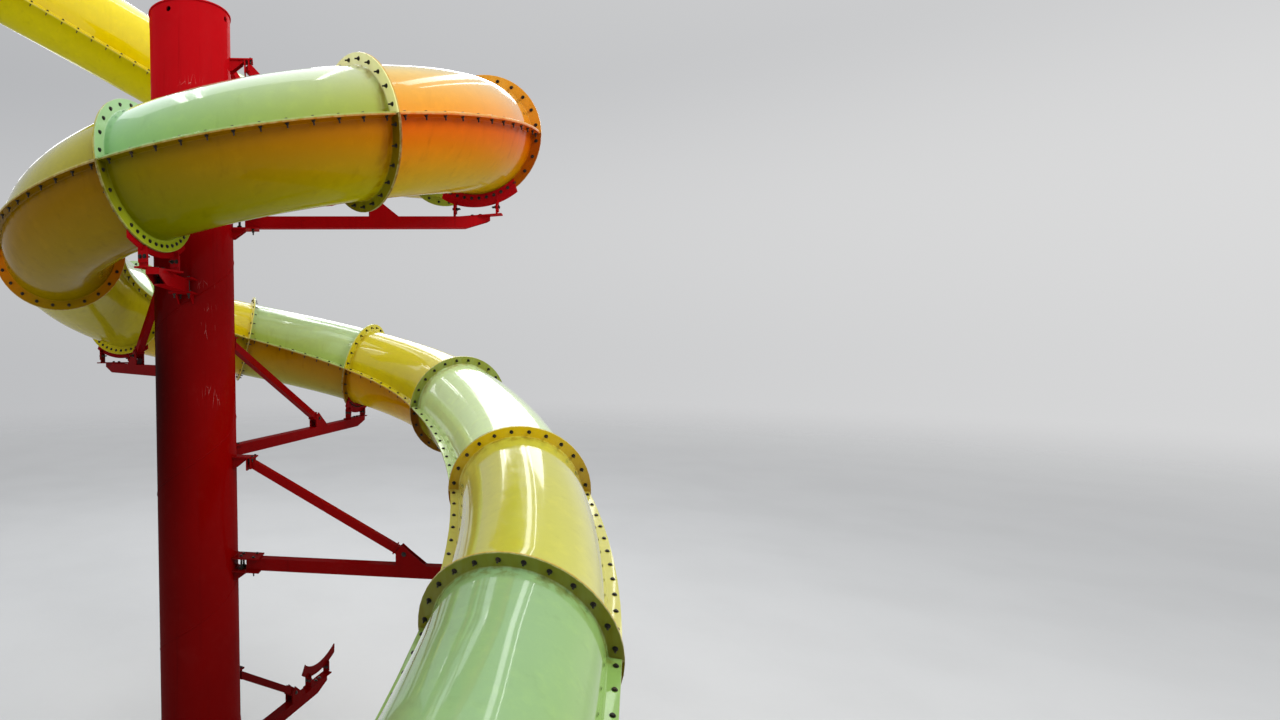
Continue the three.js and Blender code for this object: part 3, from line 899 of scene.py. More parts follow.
class Bolts:
    """Gathers whole bolts: washer and hexagon head, washer, nut and thread end."""

    def __init__(self, seed):
        self.points = []
        self.faces = []
        self.chance = random.Random(seed)

    def stack(self, matrix, rows, sides, turn=0.0):
        """A closed body about local z from rows of radius and height."""
        first = len(self.points)
        for radius, z in rows:
            for a in full_turn(sides, turn):
                self.points.append(matrix @ Vector((*polar(radius, a), z)))
        top = len(self.points) - sides
        for low in range(first, top, sides):
            for k in range(sides):
                n = (k + 1) % sides
                self.faces.append((low + k, low + n, low + sides + n, low + sides + k))
        self.faces.append(tuple(first + k for k in reversed(range(sides))))
        self.faces.append(tuple(top + k for k in range(sides)))

    def stud(self, matrix, size):
        """A thick washer, nut and thread end above local z = 0."""
        radius = WASHER_RADIUS * size
        low = WASHER_THICK * 2
        self.stack(matrix, [
            (radius, 0.0), (radius, low * 0.75), (radius * WASHER_FACE, low)], sides=20)
        radius = HEAD_RADIUS * size
        high = low + NUT_HEIGHT * size
        self.stack(matrix, [
            (radius * 0.9, low - 0.0005), (radius, low + 0.002), (radius, high - 0.003),
            (radius * HEX_FACE, high)], sides=6, turn=self.chance.random() * math.pi)
        radius = THREAD_RADIUS * size
        self.stack(matrix, [
            (radius, high - 0.002), (radius, high + ANCHOR_STUB),
            (radius * 0.8, high + ANCHOR_STUB + 0.004)], sides=14)

    def add(self, matrix, head, nut, size=1.0):
        """The axis is local z; the head sits at z = head and the nut at z = -nut."""
        under = matrix @ quarter(2, "X")
        radius = WASHER_RADIUS * size
        washer = [
            (radius, 0.0), (radius, WASHER_THICK * 0.75), (radius * WASHER_FACE, WASHER_THICK)]
        radius = HEAD_RADIUS * size
        for way, level, tall in ((matrix, head, HEAD_HEIGHT), (under, nut, NUT_HEIGHT)):
            base = way @ Matrix.Translation((0.0, 0.0, level))
            self.stack(base, washer, sides=14, turn=self.chance.random())
            high = WASHER_THICK + tall * size
            self.stack(base, [
                (radius, WASHER_THICK - 0.0005), (radius, high - 0.0016 * size),
                (radius * HEX_FACE, high)], sides=6, turn=self.chance.random() * math.pi)
        radius = THREAD_RADIUS * size
        low = nut + WASHER_THICK + NUT_HEIGHT * size - 0.002
        tip = THREAD_STUB * size
        self.stack(under @ Matrix.Translation((0.0, 0.0, low)), [
            (radius, 0.0), (radius, tip), (radius * 0.75, tip + 0.002)], sides=8)

    def piece(self, name):
        mesh = bpy.data.meshes.new(name)
        mesh.from_pydata(self.points, [], self.faces)
        return finished(name, mesh, materials()["dark_bolt_steel"], angle=30.0)


def materials():
    """The shared finishes, made once."""
    steel = bpy.context.scene.tower_steel
    if "dark_bolt_steel" not in bpy.data.materials:
        dark_steel("dark_bolt_steel", tuple(steel.bolt_colour))
        # The brackets' red carries painted light and shade by height and side, with its shaded
        # red darker still
        red_paint(
            "bracket_paint", tuple(steel.bright_red), tuple(0.85 * c for c in steel.deep_red),
            low=2.6, high=8.8, shaded=1.6, sheen=0.07)
    return bpy.data.materials


class TOWER_OT_tube_shells(Operator):
    """Build the half shells of every bay"""
    bl_idname = "tower.tube_shells"
    bl_label = "Tube shells"

    def execute(self, context):
        tube = context.scene.tower_tube
        bays = walk_slide()
        for bay in bays:
            tint = tube.green if bay.coat == "green" else tube.yellow
            for half, side, soiling, gloss in HALVES:
                own = f"{bay.name}_{half}"
                tones = LIT_AND_SHADED_TONES.get(own, LIT_AND_SHADED_TONES[f"{bay.coat}_{half}"])
                rings = FLANGE_LIT_AND_SHADED_TONES.get(own, tones)
                finish = gel_coat(
                    f"{bay.coat}_gel_{own}", four_tones(tones, tint), four_tones(rings, tint),
                    soiling, gloss)
                piece = half_shell(tube, bay, half, side, finish)
                for last, end in ((bays[0], 0), (bays[-1], -1)):
                    if bay is last:
                        place = bay.stations[end].rolled(bay.roll)
                        drilled(piece, flange_holes(tube, place, side), HOLE_RADIUS, HOLE_DEPTH)
        return {"FINISHED"}


# Saddles: a crescent plate behind a ring flange, with the reach of its two arcs and of
# its bolts to either side in degrees, and its base on the beam
SADDLE_TOP_ARC = 40.0
SADDLE_LOW_ARC = 35.0
SADDLE_BOLT_ARC = 33.0
SADDLE_TOP_RADIUS = 0.560
SADDLE_LOW_RADIUS = 0.692
SADDLE_SPANS = 28
SADDLE_THICK = 0.016
SADDLE_FACE = 0.00045
SADDLE_BASE_THICK = 0.014
SADDLE_BASE_REACH = 0.270
SADDLE_BASE_BOLT = 0.042


def saddle_angles(tube):
    """Angles of the bolts that pass through a saddle, in degrees."""
    pitch = 180.0 / tube.ring_bolts
    count = int(SADDLE_BOLT_ARC / pitch)
    return [-90.0 + pitch * k for k in range(-count, count + 1)]


class TOWER_OT_ring_bolts(Operator):
    """Build the bolts of the ring joints and of the saddles below them"""
    bl_idname = "tower.ring_bolts"
    bl_label = "Ring bolts"

    def execute(self, context):
        tube = context.scene.tower_tube
        bolts = Bolts(seed=11)
        thick = tube.flange_thickness + JOINT_GAP / 2
        pitch = 360.0 / tube.ring_bolts
        for number, bay in enumerate(walk_slide()[:-1], 1):
            # Below the first bay the bolts stand off the seams of both bays
            turn = pitch / 4 if number == 1 else 0.0
            angles = [(i + 0.5) * pitch + turn for i in range(tube.ring_bolts)]
            held = [] if number % 2 else saddle_angles(tube)
            if held:
                low, high = held[0] + 360.0 - pitch / 4, held[-1] + 360.0 + pitch / 4
                angles = [a for a in angles if not low < a < high]
            for group, nut in ((angles, thick), (held, thick + SADDLE_FACE + SADDLE_THICK)):
                for angle in group:
                    u, v = polar(tube.bolt_circle, math.radians(angle))
                    bolts.add(bay.stations[-1].matrix(u, v) @ quarter(2, "X"), thick, nut)
        bolts.piece("ring_bolts")
        return {"FINISHED"}


# The distance of a seam's first bolt from its end
SEAM_FIRST = 0.085


def seam_places(tube, bay, side):
    """Where the bolts of one seam stand, upright through its two flanges."""
    places = [place.rolled(bay.roll) for place in bay.stations]
    edge = [place.at(side * tube.bolt_circle, 0.0) for place in places]
    lengths = [(b - a).length for a, b in zip(edge, edge[1:])]
    span = sum(lengths) - 2 * SEAM_FIRST
    count = max(2, round(span / tube.seam_pitch) + 1)
    for k in range(count):
        goal = SEAM_FIRST + span * k / (count - 1)
        i = 0
        while goal > lengths[i] and i < len(lengths) - 1:
            goal -= lengths[i]
            i += 1
        place = places[i]
        yield stood(
            place.left, -place.along, place.up, edge[i].lerp(edge[i + 1], goal / lengths[i]))


class TOWER_OT_seam_bolts(Operator):
    """Build the bolts along both seams of every bay"""
    bl_idname = "tower.seam_bolts"
    bl_label = "Seam bolts"

    def execute(self, context):
        tube = context.scene.tower_tube
        bolts = Bolts(seed=23)
        thick = tube.flange_thickness + JOINT_GAP / 2
        for bay in walk_slide():
            for side in (-1, 1):
                for stand in seam_places(tube, bay, side):
                    bolts.add(stand, thick, thick)
        bolts.piece("seam_bolts")
        return {"FINISHED"}


# The column's pipe, its spiral weld, cap and base plate
COLUMN_WALL = 0.016
COLUMN_SIDES = 112
SPIRAL_RADIUS = 0.011
SPIRAL_SUNK = 0.0068
SPIRAL_END = 0.01
SPIRAL_STEPS = 72
FOOT_WELD_RADIUS = 0.008
FOOT_WELD_STEPS = 96
CAP_RADIUS = 0.416
CAP_THICK = 0.016
BASE_RADIUS = 0.680
BASE_THICK = 0.040
LOW_EASE = 0.002
HIGH_EASE = 0.003
# How far outside a face the middle of a weld bead lies
WELD_PROUD = 0.001
LIFT_HOLE_RADIUS = 0.026
LIFT_HOLE_DROP = 0.075
LIFT_HOLE_DEPTH = 0.04
LIFT_HOLE_HEADINGS = (250.0, 340.0)
# Eight gussets on the base, and the anchors between them
GUSSETS = 8
GUSSET_REACH = 0.2
GUSSET_TOP = 0.32
GUSSET_TOP_REACH = 0.04
GUSSET_TIP = 0.03
GUSSET_SUNK = 0.005
GUSSET_SIDE = 0.010
GUSSET_WELD = 0.006
GUSSET_WELD_END = 0.01
ANCHOR_CIRCLE = 0.59
ANCHOR_SIZE = 2.1
# Scratched spots on the column: a place and a radius each
SCRATCHES = (
    ((0.17, -0.37, 6.10), 0.20), ((0.19, -0.36, 5.78), 0.17), ((0.21, -0.35, 5.10), 0.15),
    ((0.10, -0.39, 8.10), 0.20))


def disc(radius, low, high):
    """The profile of a round plate with eased edges."""
    return [
        (0.0, low), (radius - LOW_EASE, low), (radius, low + LOW_EASE),
        (radius, high - HIGH_EASE), (radius - HIGH_EASE, high), (0.0, high)]


class TOWER_OT_column(Operator):
    """Build the column's pipe with its spiral weld, its cap and its base"""
    bl_idname = "tower.column"
    bl_label = "Column"

    def execute(self, context):
        steel = context.scene.tower_steel
        radius, top = steel.column_radius, steel.column_top
        # The column's red carries painted light and shade: sunlit at the top, deeper below and
        # away from the sun side
        paint = red_paint(
            "column_paint", tuple(steel.bright_red), tuple(steel.deep_red),
            low=5.2, high=8.4, shaded=radius, sheen=0.06, scratches=SCRATCHES)
        self.pipe(radius, top, paint)
        self.welds(radius, top, steel.weld_pitch, paint)
        cap = Solids()
        low = top + JOINT_GAP
        cap.turned(disc(CAP_RADIUS, low, low + CAP_THICK), COLUMN_SIDES)
        cap.piece("column_lid", paint, ["column_cap"])
        self.base(radius + JOINT_GAP, paint)
        self.anchors()
        return {"FINISHED"}

    def pipe(self, radius, top, paint):
        """The pipe, with two small lifting holes under its rim."""
        pipe = Solids()
        foot = BASE_THICK + JOINT_GAP
        inside = radius - COLUMN_WALL
        pipe.turned([
            (radius, foot), (radius, top - LOW_EASE), (radius - LOW_EASE, top),
            (inside, top), (inside, foot)], COLUMN_SIDES)
        made = pipe.piece("column_tube", paint, ["column_pipe"])
        holes = [
            Matrix.Rotation(math.radians(heading), 4, "Z")
            @ Matrix.Translation((radius, 0.0, top - LIFT_HOLE_DROP)) @ quarter(1, "Y")
            for heading in LIFT_HOLE_HEADINGS]
        drilled(made, holes, LIFT_HOLE_RADIUS, LIFT_HOLE_DEPTH)

    def welds(self, radius, top, pitch, paint):
        """The spiral weld and the one round the foot."""
        weld = Solids()
        foot = BASE_THICK + JOINT_GAP
        turns = (top - 2 * SPIRAL_END - foot) / pitch
        count = int(turns * SPIRAL_STEPS)
        path = []
        for i in range(count + 1):
            u, v = polar(radius - SPIRAL_SUNK, 2 * math.pi * turns * i / count)
            rise = (top - foot - 3 * SPIRAL_END) * i / count
            path.append(Vector((u, v, foot + SPIRAL_END + rise)))
        weld.bead(path, SPIRAL_RADIUS, seed=5, sides=8)
        ring = [Vector((*polar(radius + WELD_PROUD, a), BASE_THICK))
                for a in full_turn(FOOT_WELD_STEPS)]
        weld.bead(ring, FOOT_WELD_RADIUS, seed=6, sides=8, closed=True)
        weld.piece("column_weld", paint, angle=60.0)

    def base(self, near, paint):
        """The base plate and its welded gussets."""
        base = Solids()
        base.turned(disc(BASE_RADIUS, 0.0, BASE_THICK), COLUMN_SIDES)
        far = near + GUSSET_REACH
        for i in range(GUSSETS):
            turn = Matrix.Rotation(2 * math.pi * i / GUSSETS, 4, "Z")
            base.prism([
                (near, BASE_THICK - GUSSET_SUNK), (far, BASE_THICK - GUSSET_SUNK),
                (far, BASE_THICK + GUSSET_TIP), (near + GUSSET_TOP_REACH, GUSSET_TOP),
                (near, GUSSET_TOP)], -GUSSET_SIDE, GUSSET_SIDE, turn)
            for side in (-1, 1):
                x, y = near + WELD_PROUD, side * (GUSSET_SIDE + WELD_PROUD)
                base.straight_bead(
                    (near + GUSSET_WELD_END, y, BASE_THICK),
                    (far - GUSSET_WELD_END, y, BASE_THICK), turn,
                    spans=14, radius=GUSSET_WELD, seed=40 + i)
                base.straight_bead(
                    (x, y, BASE_THICK), (x, y, GUSSET_TOP - GUSSET_WELD_END), turn,
                    spans=18, radius=GUSSET_WELD, seed=60 + i)
        base.piece("column_foot", paint, ["column_base"])

    def anchors(self):
        anchors = Bolts(seed=31)
        for a in full_turn(GUSSETS, math.pi / GUSSETS):
            place = Matrix.Translation((*polar(ANCHOR_CIRCLE, a), BASE_THICK))
            anchors.stud(place, ANCHOR_SIZE)
        anchors.piece("anchor_nuts")


# Plates on the column reach this far into its round side
SUNK = 0.019
# The beam: its gap to the column, rounded edges, wall and open, sloping end
BEAM_START = 0.125
BEAM_ROUND = 0.009
BEAM_WALL = 0.008
BEAM_HOLLOW = 0.420
BEAM_SLOPE = 0.240
BEAM_CHAMFER = 0.070
# The lugs above and below the beam, and the bolts through all three and in the gap
LUG_LENGTH = 0.270
LUG_WIDTH = 0.220
LUG_THICK = 0.014
LUG_BOLT_REACH = 0.205
LUG_BOLT_SIDE = 0.068
GAP_BOLT_REACH = 0.068
GAP_BOLT_SIDE = 0.040
# Small gussets below a lug or shelf: reach, height of the tip, reach at the foot, drop
GUSSET_OUT = 0.130
LUG_GUSSET = (0.012, 0.020, 0.091)
LUG_GUSSET_SIDE = 0.006
SHELF_GUSSET = (0.020, 0.015, 0.110)
# The brace: its rounded edges, and the shelf and fork at its head. The fork's cheeks
# have the place of their near side and of their lower edge, from the brace's head
BRACE_ROUND = 0.007
BRACE_HEAD_REACH = 0.170
BRACE_FOOT_HEIGHT = 0.100
FORK_THICK = 0.014
FORK_SIDE = 0.07
FORK_CHEEKS = ((-0.030, -0.075), (0.012, -0.060))
SHELF_HEIGHT = 0.05
SHELF_REACH = 0.06
SHELF_WIDTH = 0.15
SHELF_BOLT_REACH = 0.035
SHELF_BOLT_SIDE = 0.05
# The two plates at the brace's foot, as an outline from its place on the beam, with
# their bolt, and the plate across the brace's end
FOOT_OUTLINE = ((-0.09, 0.0), (0.21, 0.0), (0.06, 0.12), (-0.02, 0.19), (-0.09, 0.13))
FOOT_PLAY = 0.0005
FOOT_BOLT = 0.01
END_PLATE_SIDE = 0.052
END_PLATE_BACK = 0.105
END_PLATE_HALF = 0.006
# The uprights of a saddle: two lapped tabs each, clear of the tube's flange
UPRIGHT_OFFSET = 0.222
UPRIGHT_DEPTH = 0.084
TAB_THICK = 0.012
TAB_PLAY = 0.0004
TAB_LAP = 0.05
TAB_LAP_SHARE = 0.3
TAB_BOLT_SIDE = 0.022
HEAD_CLEAR = 0.024
HEAD_ASIDE = 0.020
LUG_WELD = 0.006
TAB_WELD = 0.005
# Bolts of the brackets, as a multiple of the tube's own, and the shank and the nut
# that show in the gap
BRACKET_BOLT = 1.1
THROUGH_BOLT = 1.35
SHANK_RADIUS = 0.011
SHANK_SUNK = 0.004
GAP_NUT = ((0.024, -0.0005), (0.024, 0.022), (0.020, 0.025))


def support_point(tube, place, side):
    """The point below a ring where its saddle stands."""
    return place.at(side, -tube.flange_radius, tube.flange_thickness + SADDLE_THICK / 2)


def box_beam(near, end, low, top, half):
    """A rounded box section, open at its sloping end."""
    still = Matrix.Identity(4)
    body = Solids()
    body.prism([
        (near, low), (end - BEAM_SLOPE, low), (end, low + BEAM_CHAMFER),
        (end, top), (near, top)], -half, half, still, bevel=BEAM_ROUND, segments=3)
    beam = linked("beam", body.data("beam"))
    knife = Solids()
    knife.slab(
        end - BEAM_HOLLOW, end - BEAM_WALL, BEAM_WALL - half, half - BEAM_WALL,
        low + BEAM_WALL, top - BEAM_WALL, still, bevel=0.002)
    carved(beam, knife)
    part = bmesh.new()
    part.from_mesh(beam.data)
    mesh = beam.data
    bpy.data.objects.remove(beam)
    bpy.data.meshes.remove(mesh)
    return part


class Bracket:
    """One bracket from the column to a foot below the tube: x leads out to the foot."""

    def __init__(self, tube, steel, bolts, foot, top):
        self.tube = tube
        self.steel = steel
        self.bolts = bolts
        self.foot = foot
        self.top = top
        self.radius = steel.column_radius
        self.reach = math.hypot(foot.x, foot.y)
        self.turn = Matrix.Rotation(math.atan2(foot.y, foot.x), 4, "Z")
        self.made = Solids()

    def weld(self, level, width, spans, seed):
        """A bead on the column along a plate of this width."""
        points = []
        for k in range(spans + 1):
            y = -width / 2 + width * k / spans
            x = math.sqrt(self.radius ** 2 - y * y) + WELD_PROUD
            points.append(self.turn @ Vector((x, y, level)))
        self.made.bead(points, LUG_WELD, seed)

    def bolt(self, x, y, z, grip, size=1.0):
        """An upright bolt with its head at z."""
        self.bolts.add(self.turn @ Matrix.Translation((x, y, z)), 0.0, grip, size)

    def gusset(self, y, side, top, shape):
        """A small upright plate against the column."""
        tip, foot, drop = shape
        back, front = self.radius - SUNK, self.radius + GUSSET_OUT
        self.made.prism([
            (back, top), (front, top), (front, top - tip), (self.radius + foot, top - drop),
            (back, top - drop)], y - side, y + side, self.turn)

    def beam(self, overhang):
        """The beam, its two lugs and the bolts through them."""
        made, top = self.made, self.top
        near, end = self.radius + BEAM_START, self.reach + overhang
        low = top - self.steel.beam_height
        made.take(box_beam(near, end, low, top, self.steel.beam_width / 2), self.turn)
        back, front = self.radius - SUNK, self.radius + LUG_LENGTH
        side = LUG_WIDTH / 2
        high, under = top + LUG_THICK, low - LUG_THICK
        made.slab(back, front, -side, side, top, high, self.turn)
        made.slab(back, front, -side, side, under, low, self.turn)
        for y in (-LUG_BOLT_SIDE, LUG_BOLT_SIDE):
            self.gusset(y, LUG_GUSSET_SIDE, under, LUG_GUSSET)
            self.bolt(self.radius + LUG_BOLT_REACH, y, high, high - under, BRACKET_BOLT)
        for y in (-GAP_BOLT_SIDE, GAP_BOLT_SIDE):
            self.bolt(self.radius + GAP_BOLT_REACH, y, high, high - under, BRACKET_BOLT)
            stand = self.turn @ Matrix.Translation((self.radius + GAP_BOLT_REACH, y, low))
            self.bolts.stack(stand, [
                (SHANK_RADIUS, -SHANK_SUNK), (SHANK_RADIUS, top - low + SHANK_SUNK)], sides=12)
            self.bolts.stack(stand, GAP_NUT, sides=6, turn=y)
        for level in (high, low):
            self.weld(level, LUG_WIDTH, spans=16, seed=int(level * 1000))

    def brace(self, rise, foot_share):
        """The brace, from a fork below a shelf on the column to two plates on the beam."""
        made, top, size = self.made, self.top, self.steel.brace_size
        foot_x = self.radius + (self.reach - self.radius) * foot_share
        foot_z = top + BRACE_FOOT_HEIGHT
        head_x = self.radius + BRACE_HEAD_REACH
        head_z = top + rise
        made.bar((head_x, head_z), (foot_x, foot_z), size, self.turn, BRACE_ROUND)
        outline = [(foot_x + x, top + z) for x, z in FOOT_OUTLINE]
        near, far = size / 2 + FOOT_PLAY, size / 2 + FORK_THICK
        made.prism(outline, near, far, self.turn)
        made.prism(outline, -far, -near, self.turn)
        across = self.turn @ Matrix.Translation(
            (foot_x - FOOT_BOLT, 0.0, foot_z + FOOT_BOLT)) @ quarter(1, "X")
        self.bolts.add(across, far, far, THROUGH_BOLT)
        fall = math.atan2(head_z - foot_z, foot_x - head_x)
        way = Vector((math.cos(fall), 0.0, -math.sin(fall)))
        stand = self.turn @ Matrix.Translation(
            Vector((foot_x, 0.0, foot_z)) - way * END_PLATE_BACK) @ Matrix.Rotation(fall, 4, "Y")
        side = END_PLATE_SIDE
        made.slab(-END_PLATE_HALF, END_PLATE_HALF, -side, side, -side, side, stand)
        shelf = head_z + SHELF_HEIGHT
        side = SHELF_WIDTH / 2
        made.slab(
            self.radius - SUNK, head_x + SHELF_REACH, -side, side, shelf, shelf + FORK_THICK,
            self.turn)
        for x, z in FORK_CHEEKS:
            made.slab(
                head_x + x, head_x + x + FORK_THICK, -FORK_SIDE, FORK_SIDE, head_z + z, shelf,
                self.turn)
        for y in (-SHELF_BOLT_SIDE, SHELF_BOLT_SIDE):
            self.gusset(y, FORK_THICK / 2, shelf, SHELF_GUSSET)
            self.bolt(head_x + SHELF_BOLT_REACH, y, shelf + FORK_THICK, FORK_THICK)
        self.weld(shelf + FORK_THICK, SHELF_WIDTH, spans=12, seed=int(shelf * 1000))

    def saddle(self, place):
        """The crescent behind the ring flange, on two uprights on a base plate."""
        made, bolts, tube, foot = self.made, self.bolts, self.tube, self.foot
        near = tube.flange_thickness + JOINT_GAP / 2 + JOINT_GAP
        low = arc(
            SADDLE_LOW_RADIUS, -90.0 - SADDLE_LOW_ARC, SADDLE_LOW_ARC - 90.0, SADDLE_SPANS)
        high = arc(
            SADDLE_TOP_RADIUS, SADDLE_TOP_ARC - 90.0, -90.0 - SADDLE_TOP_ARC, SADDLE_SPANS)
        made.plate(low + high, SADDLE_THICK, place.matrix(0.0, 0.0, near))
        turn = (
            Matrix.Translation((foot.x, foot.y, 0.0))
            @ Matrix.Rotation(math.radians(place.heading + 90.0), 4, "Z"))
        base = self.top + JOINT_GAP
        floor = base + SADDLE_BASE_THICK
        wide = self.steel.beam_width / 2
        made.slab(-SADDLE_BASE_REACH, SADDLE_BASE_REACH, -wide, wide, base, floor, turn)
        shift = (foot - support_point(tube, place, 0.0)).dot(place.left)
        deep = UPRIGHT_DEPTH / 2
        for side in (-1, 1):
            middle = side * UPRIGHT_OFFSET
            across = abs(middle + shift) + HEAD_ASIDE
            drop = math.sqrt((tube.flange_radius + HEAD_CLEAR) ** 2 - across ** 2)
            head = place.point.z - drop * math.cos(math.radians(place.slope))
            joint = (floor + head) / 2
            lap = min(TAB_LAP, (head - base) * TAB_LAP_SHARE)
            far = TAB_THICK + TAB_PLAY
            made.slab(
                middle - far, middle - TAB_PLAY, -deep, deep, base + 0.002, joint + lap, turn)
            made.slab(middle + TAB_PLAY, middle + far, -deep, deep, joint - lap, head, turn)
            for y in (-TAB_BOLT_SIDE, TAB_BOLT_SIDE):
                stand = turn @ Matrix.Translation((middle, y, joint)) @ quarter(side, "Y")
                bolts.add(stand, TAB_THICK, TAB_THICK, BRACKET_BOLT)
            x = middle - side * TAB_THICK / 2
            made.straight_bead(
                (x, -deep, floor), (x, deep, floor), turn,
                spans=8, radius=TAB_WELD, seed=80 + side)
        for x in (-SADDLE_BASE_BOLT, SADDLE_BASE_BOLT):
            stand = turn @ Matrix.Translation((x, 0.0, floor))
            bolts.add(stand, 0.0, SADDLE_BASE_THICK - 0.004, THROUGH_BOLT)


class TOWER_OT_brackets(Operator):
    """Build the bolted brackets between the column and the tube"""
    bl_idname = "tower.brackets"
    bl_label = "Brackets"

    def execute(self, context):
        tube = context.scene.tower_tube
        bolts = Bolts(seed=47)
        bays = walk_slide()
        for number, (rise, foot_share, side, clear, overhang) in enumerate(BRACKETS, 1):
            place = bays[2 * number - 1].stations[-1]
            foot = support_point(tube, place, side)
            self.build(
                bolts, f"b{number}", place, foot, foot.z - clear, rise, foot_share, overhang)
        across = Station(Vector((0.0, 0.0, 0.0)), LOW_HEADING - 90.0, LOW_SLOPE)
        foot = Vector((*polar(LOW_REACH, math.radians(LOW_HEADING)), LOW_TOP + LOW_CLEAR))
        across.point = foot - support_point(tube, across, 0.0)
        self.build(bolts, "b7", across, foot, LOW_TOP, LOW_RISE, LOW_FOOT, LOW_OVERHANG)
        bolts.piece("bracket_bolts")
        return {"FINISHED"}

    def build(self, bolts, name, place, foot, top, rise, foot_share, overhang):
        scene = bpy.context.scene
        bracket = Bracket(scene.tower_tube, scene.tower_steel, bolts, foot, top)
        bracket.beam(overhang)
        bracket.saddle(place)
        nodes = [f"{name}_beam", f"{name}_saddle"]
        if rise > 0:
            bracket.brace(rise, foot_share)
            nodes.append(f"{name}_brace")
        bracket.made.piece(f"bracket_{name}", materials()["bracket_paint"], nodes)


# Long narrow lights overhead: their places across, widths and powers
STRIPS = ((-4.3, 0.5, 150.0), (-3.4, 0.22, 120.0), (2.4, 0.3, 110.0), (8.0, 1.2, 260.0),
          (9.8, 0.25, 100.0))
MIDDLE = (0.0, 0.0, 6.0)
# Soft lights: name, place, aim, width and height, power, colour, and the rays that
# don't see them
LIGHTS = (
    ("key", (13.0, -9.0, 16.0), MIDDLE, (9.0, 7.0), 1700.0, (1.0, 0.97, 0.92), ("glossy",)),
    ("fill", (-14.0, -9.0, 11.0), MIDDLE, (8.0, 8.0), 700.0, (1.0, 0.98, 0.95), ("glossy",)),
    ("sky", (-3.0, 5.5, 19.0), (-3.0, 3.0, 7.0), (12.0, 12.0), 550.0, (0.92, 0.97, 1.0), ()),
    *((f"strip_{number}", (across, 9.0, 18.0), (across, 9.0, 0.0), (wide, 20.0), power,
       (0.97, 0.98, 1.0), ()) for number, (across, wide, power) in enumerate(STRIPS)),
    ("window", (8.6, 22.4, 17.3), (1.5, -3.5, 5.0), (15.5, 10.0), 1800.0, WHITE,
     ("camera", "diffuse")),
    ("back", (-9.0, 16.0, 12.0), MIDDLE, (2.0, 9.0), 120.0, WHITE, ()),
)
SENSOR_WIDTH = 36.0
CLIP_END = 300.0
# The view's axis meets the photograph, of 1280 by 720 pixels, at this one
PICTURE_WIDTH = 1280.0
PICTURE_HEIGHT = 720.0
AXIS_X = 327.0
AXIS_Y = 350.8


def softbox(name, place, aim, size, power, colour, unseen_by):
    """A rectangular light, turned to what it aims at."""
    light = bpy.data.lights.new(name, "AREA")
    light.shape = "RECTANGLE"
    light.size, light.size_y = size
    light.energy = power
    light.color = colour
    lamp = linked(name, light)
    lamp.location = place
    lamp.rotation_mode = "QUATERNION"
    lamp.rotation_quaternion = (Vector(aim) - Vector(place)).to_track_quat("-Z", "Y")
    for ray in unseen_by:
        setattr(lamp, f"visible_{ray}", False)


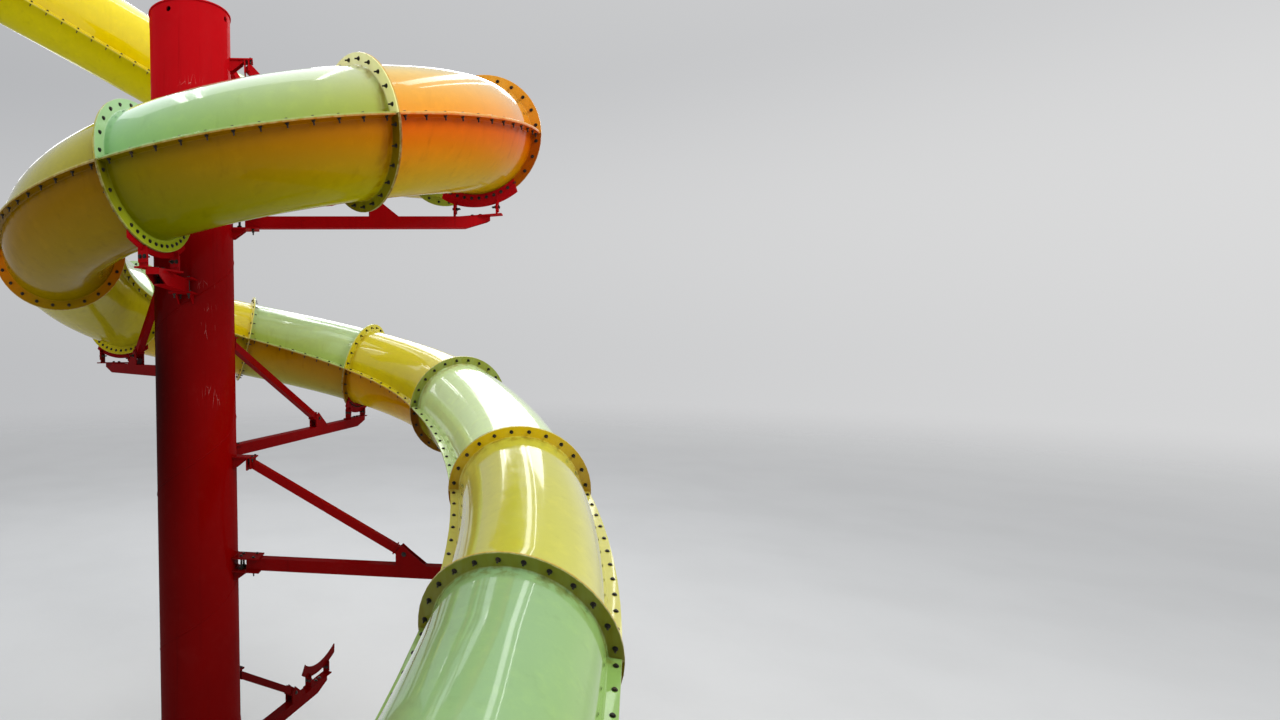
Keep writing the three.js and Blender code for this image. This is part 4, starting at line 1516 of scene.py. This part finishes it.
class TOWER_OT_stage(Operator):
    """Set up the pale floor, the soft lights and the camera"""
    bl_idname = "tower.stage"
    bl_label = "Stage"

    def execute(self, context):
        stage = context.scene.tower_stage
        self.camera(context, stage)
        floor = bmesh.new()
        bmesh.ops.create_circle(floor, cap_ends=True, segments=96, radius=stage.floor_radius)
        mesh = bpy.data.meshes.new("floor")
        floor.to_mesh(mesh)
        floor.free()
        mesh.materials.append(pale_floor("pale_floor", tuple(stage.floor_colour)))
        ground = linked("floor", mesh)
        ground.location.z = -0.001
        context.scene.world = studio_light(
            "studio", dim=(0.30, 0.32, 0.36), bright=WHITE, strength=0.75)
        context.scene.view_settings.view_transform = "Standard"
        for light in LIGHTS:
            softbox(*light)
        return {"FINISHED"}

    def camera(self, context, stage):
        data = bpy.data.cameras.new("camera")
        data.lens = stage.focal_length
        data.sensor_width = SENSOR_WIDTH
        data.clip_end = CLIP_END
        data.shift_x = (PICTURE_WIDTH / 2 - AXIS_X) / PICTURE_WIDTH
        data.shift_y = (AXIS_Y - PICTURE_HEIGHT / 2) / PICTURE_WIDTH
        drop, roll = stage.camera_drop, stage.camera_roll
        forward = Vector((0.0, math.cos(drop), -math.sin(drop)))
        level = Vector((0.0, math.sin(drop), math.cos(drop)))
        across = Vector((1.0, 0.0, 0.0))
        right = across * math.cos(roll) + level * math.sin(roll)
        up = level * math.cos(roll) - across * math.sin(roll)
        camera = linked("camera", data)
        camera.matrix_world = stood(right, up, -forward, stage.camera_place)
        context.scene.camera = camera


STEPS = (
    TOWER_OT_stage, TOWER_OT_column, TOWER_OT_tube_shells, TOWER_OT_ring_bolts,
    TOWER_OT_seam_bolts, TOWER_OT_brackets)


class VIEW3D_PT_slide_tower(Panel):
    """Sizes, colours and steps of the slide tower"""
    bl_idname = "VIEW3D_PT_slide_tower"
    bl_label = "Slide tower"
    bl_space_type = "VIEW_3D"
    bl_region_type = "UI"
    bl_category = "Slide tower"

    def draw(self, context):
        layout = self.layout
        for title, settings in (
                ("Tube", context.scene.tower_tube), ("Steel", context.scene.tower_steel),
                ("Stage", context.scene.tower_stage)):
            box = layout.box()
            box.label(text=title)
            for name in settings.__annotations__:
                box.prop(settings, name)
        for step in STEPS:
            layout.operator(step.bl_idname)


CLASSES = (TubeSettings, SteelSettings, StageSettings, *STEPS, VIEW3D_PT_slide_tower)


def register():
    for cls in CLASSES:
        bpy.utils.register_class(cls)
    bpy.types.Scene.tower_tube = PointerProperty(type=TubeSettings)
    bpy.types.Scene.tower_steel = PointerProperty(type=SteelSettings)
    bpy.types.Scene.tower_stage = PointerProperty(type=StageSettings)


def unregister():
    del bpy.types.Scene.tower_stage
    del bpy.types.Scene.tower_steel
    del bpy.types.Scene.tower_tube
    for cls in reversed(CLASSES):
        bpy.utils.unregister_class(cls)


def main():
    register()
    bpy.ops.tower.stage()
    bpy.ops.tower.column()
    bpy.ops.tower.tube_shells()
    bpy.ops.tower.ring_bolts()
    bpy.ops.tower.seam_bolts()
    bpy.ops.tower.brackets()


if __name__ == "__main__":
    main()
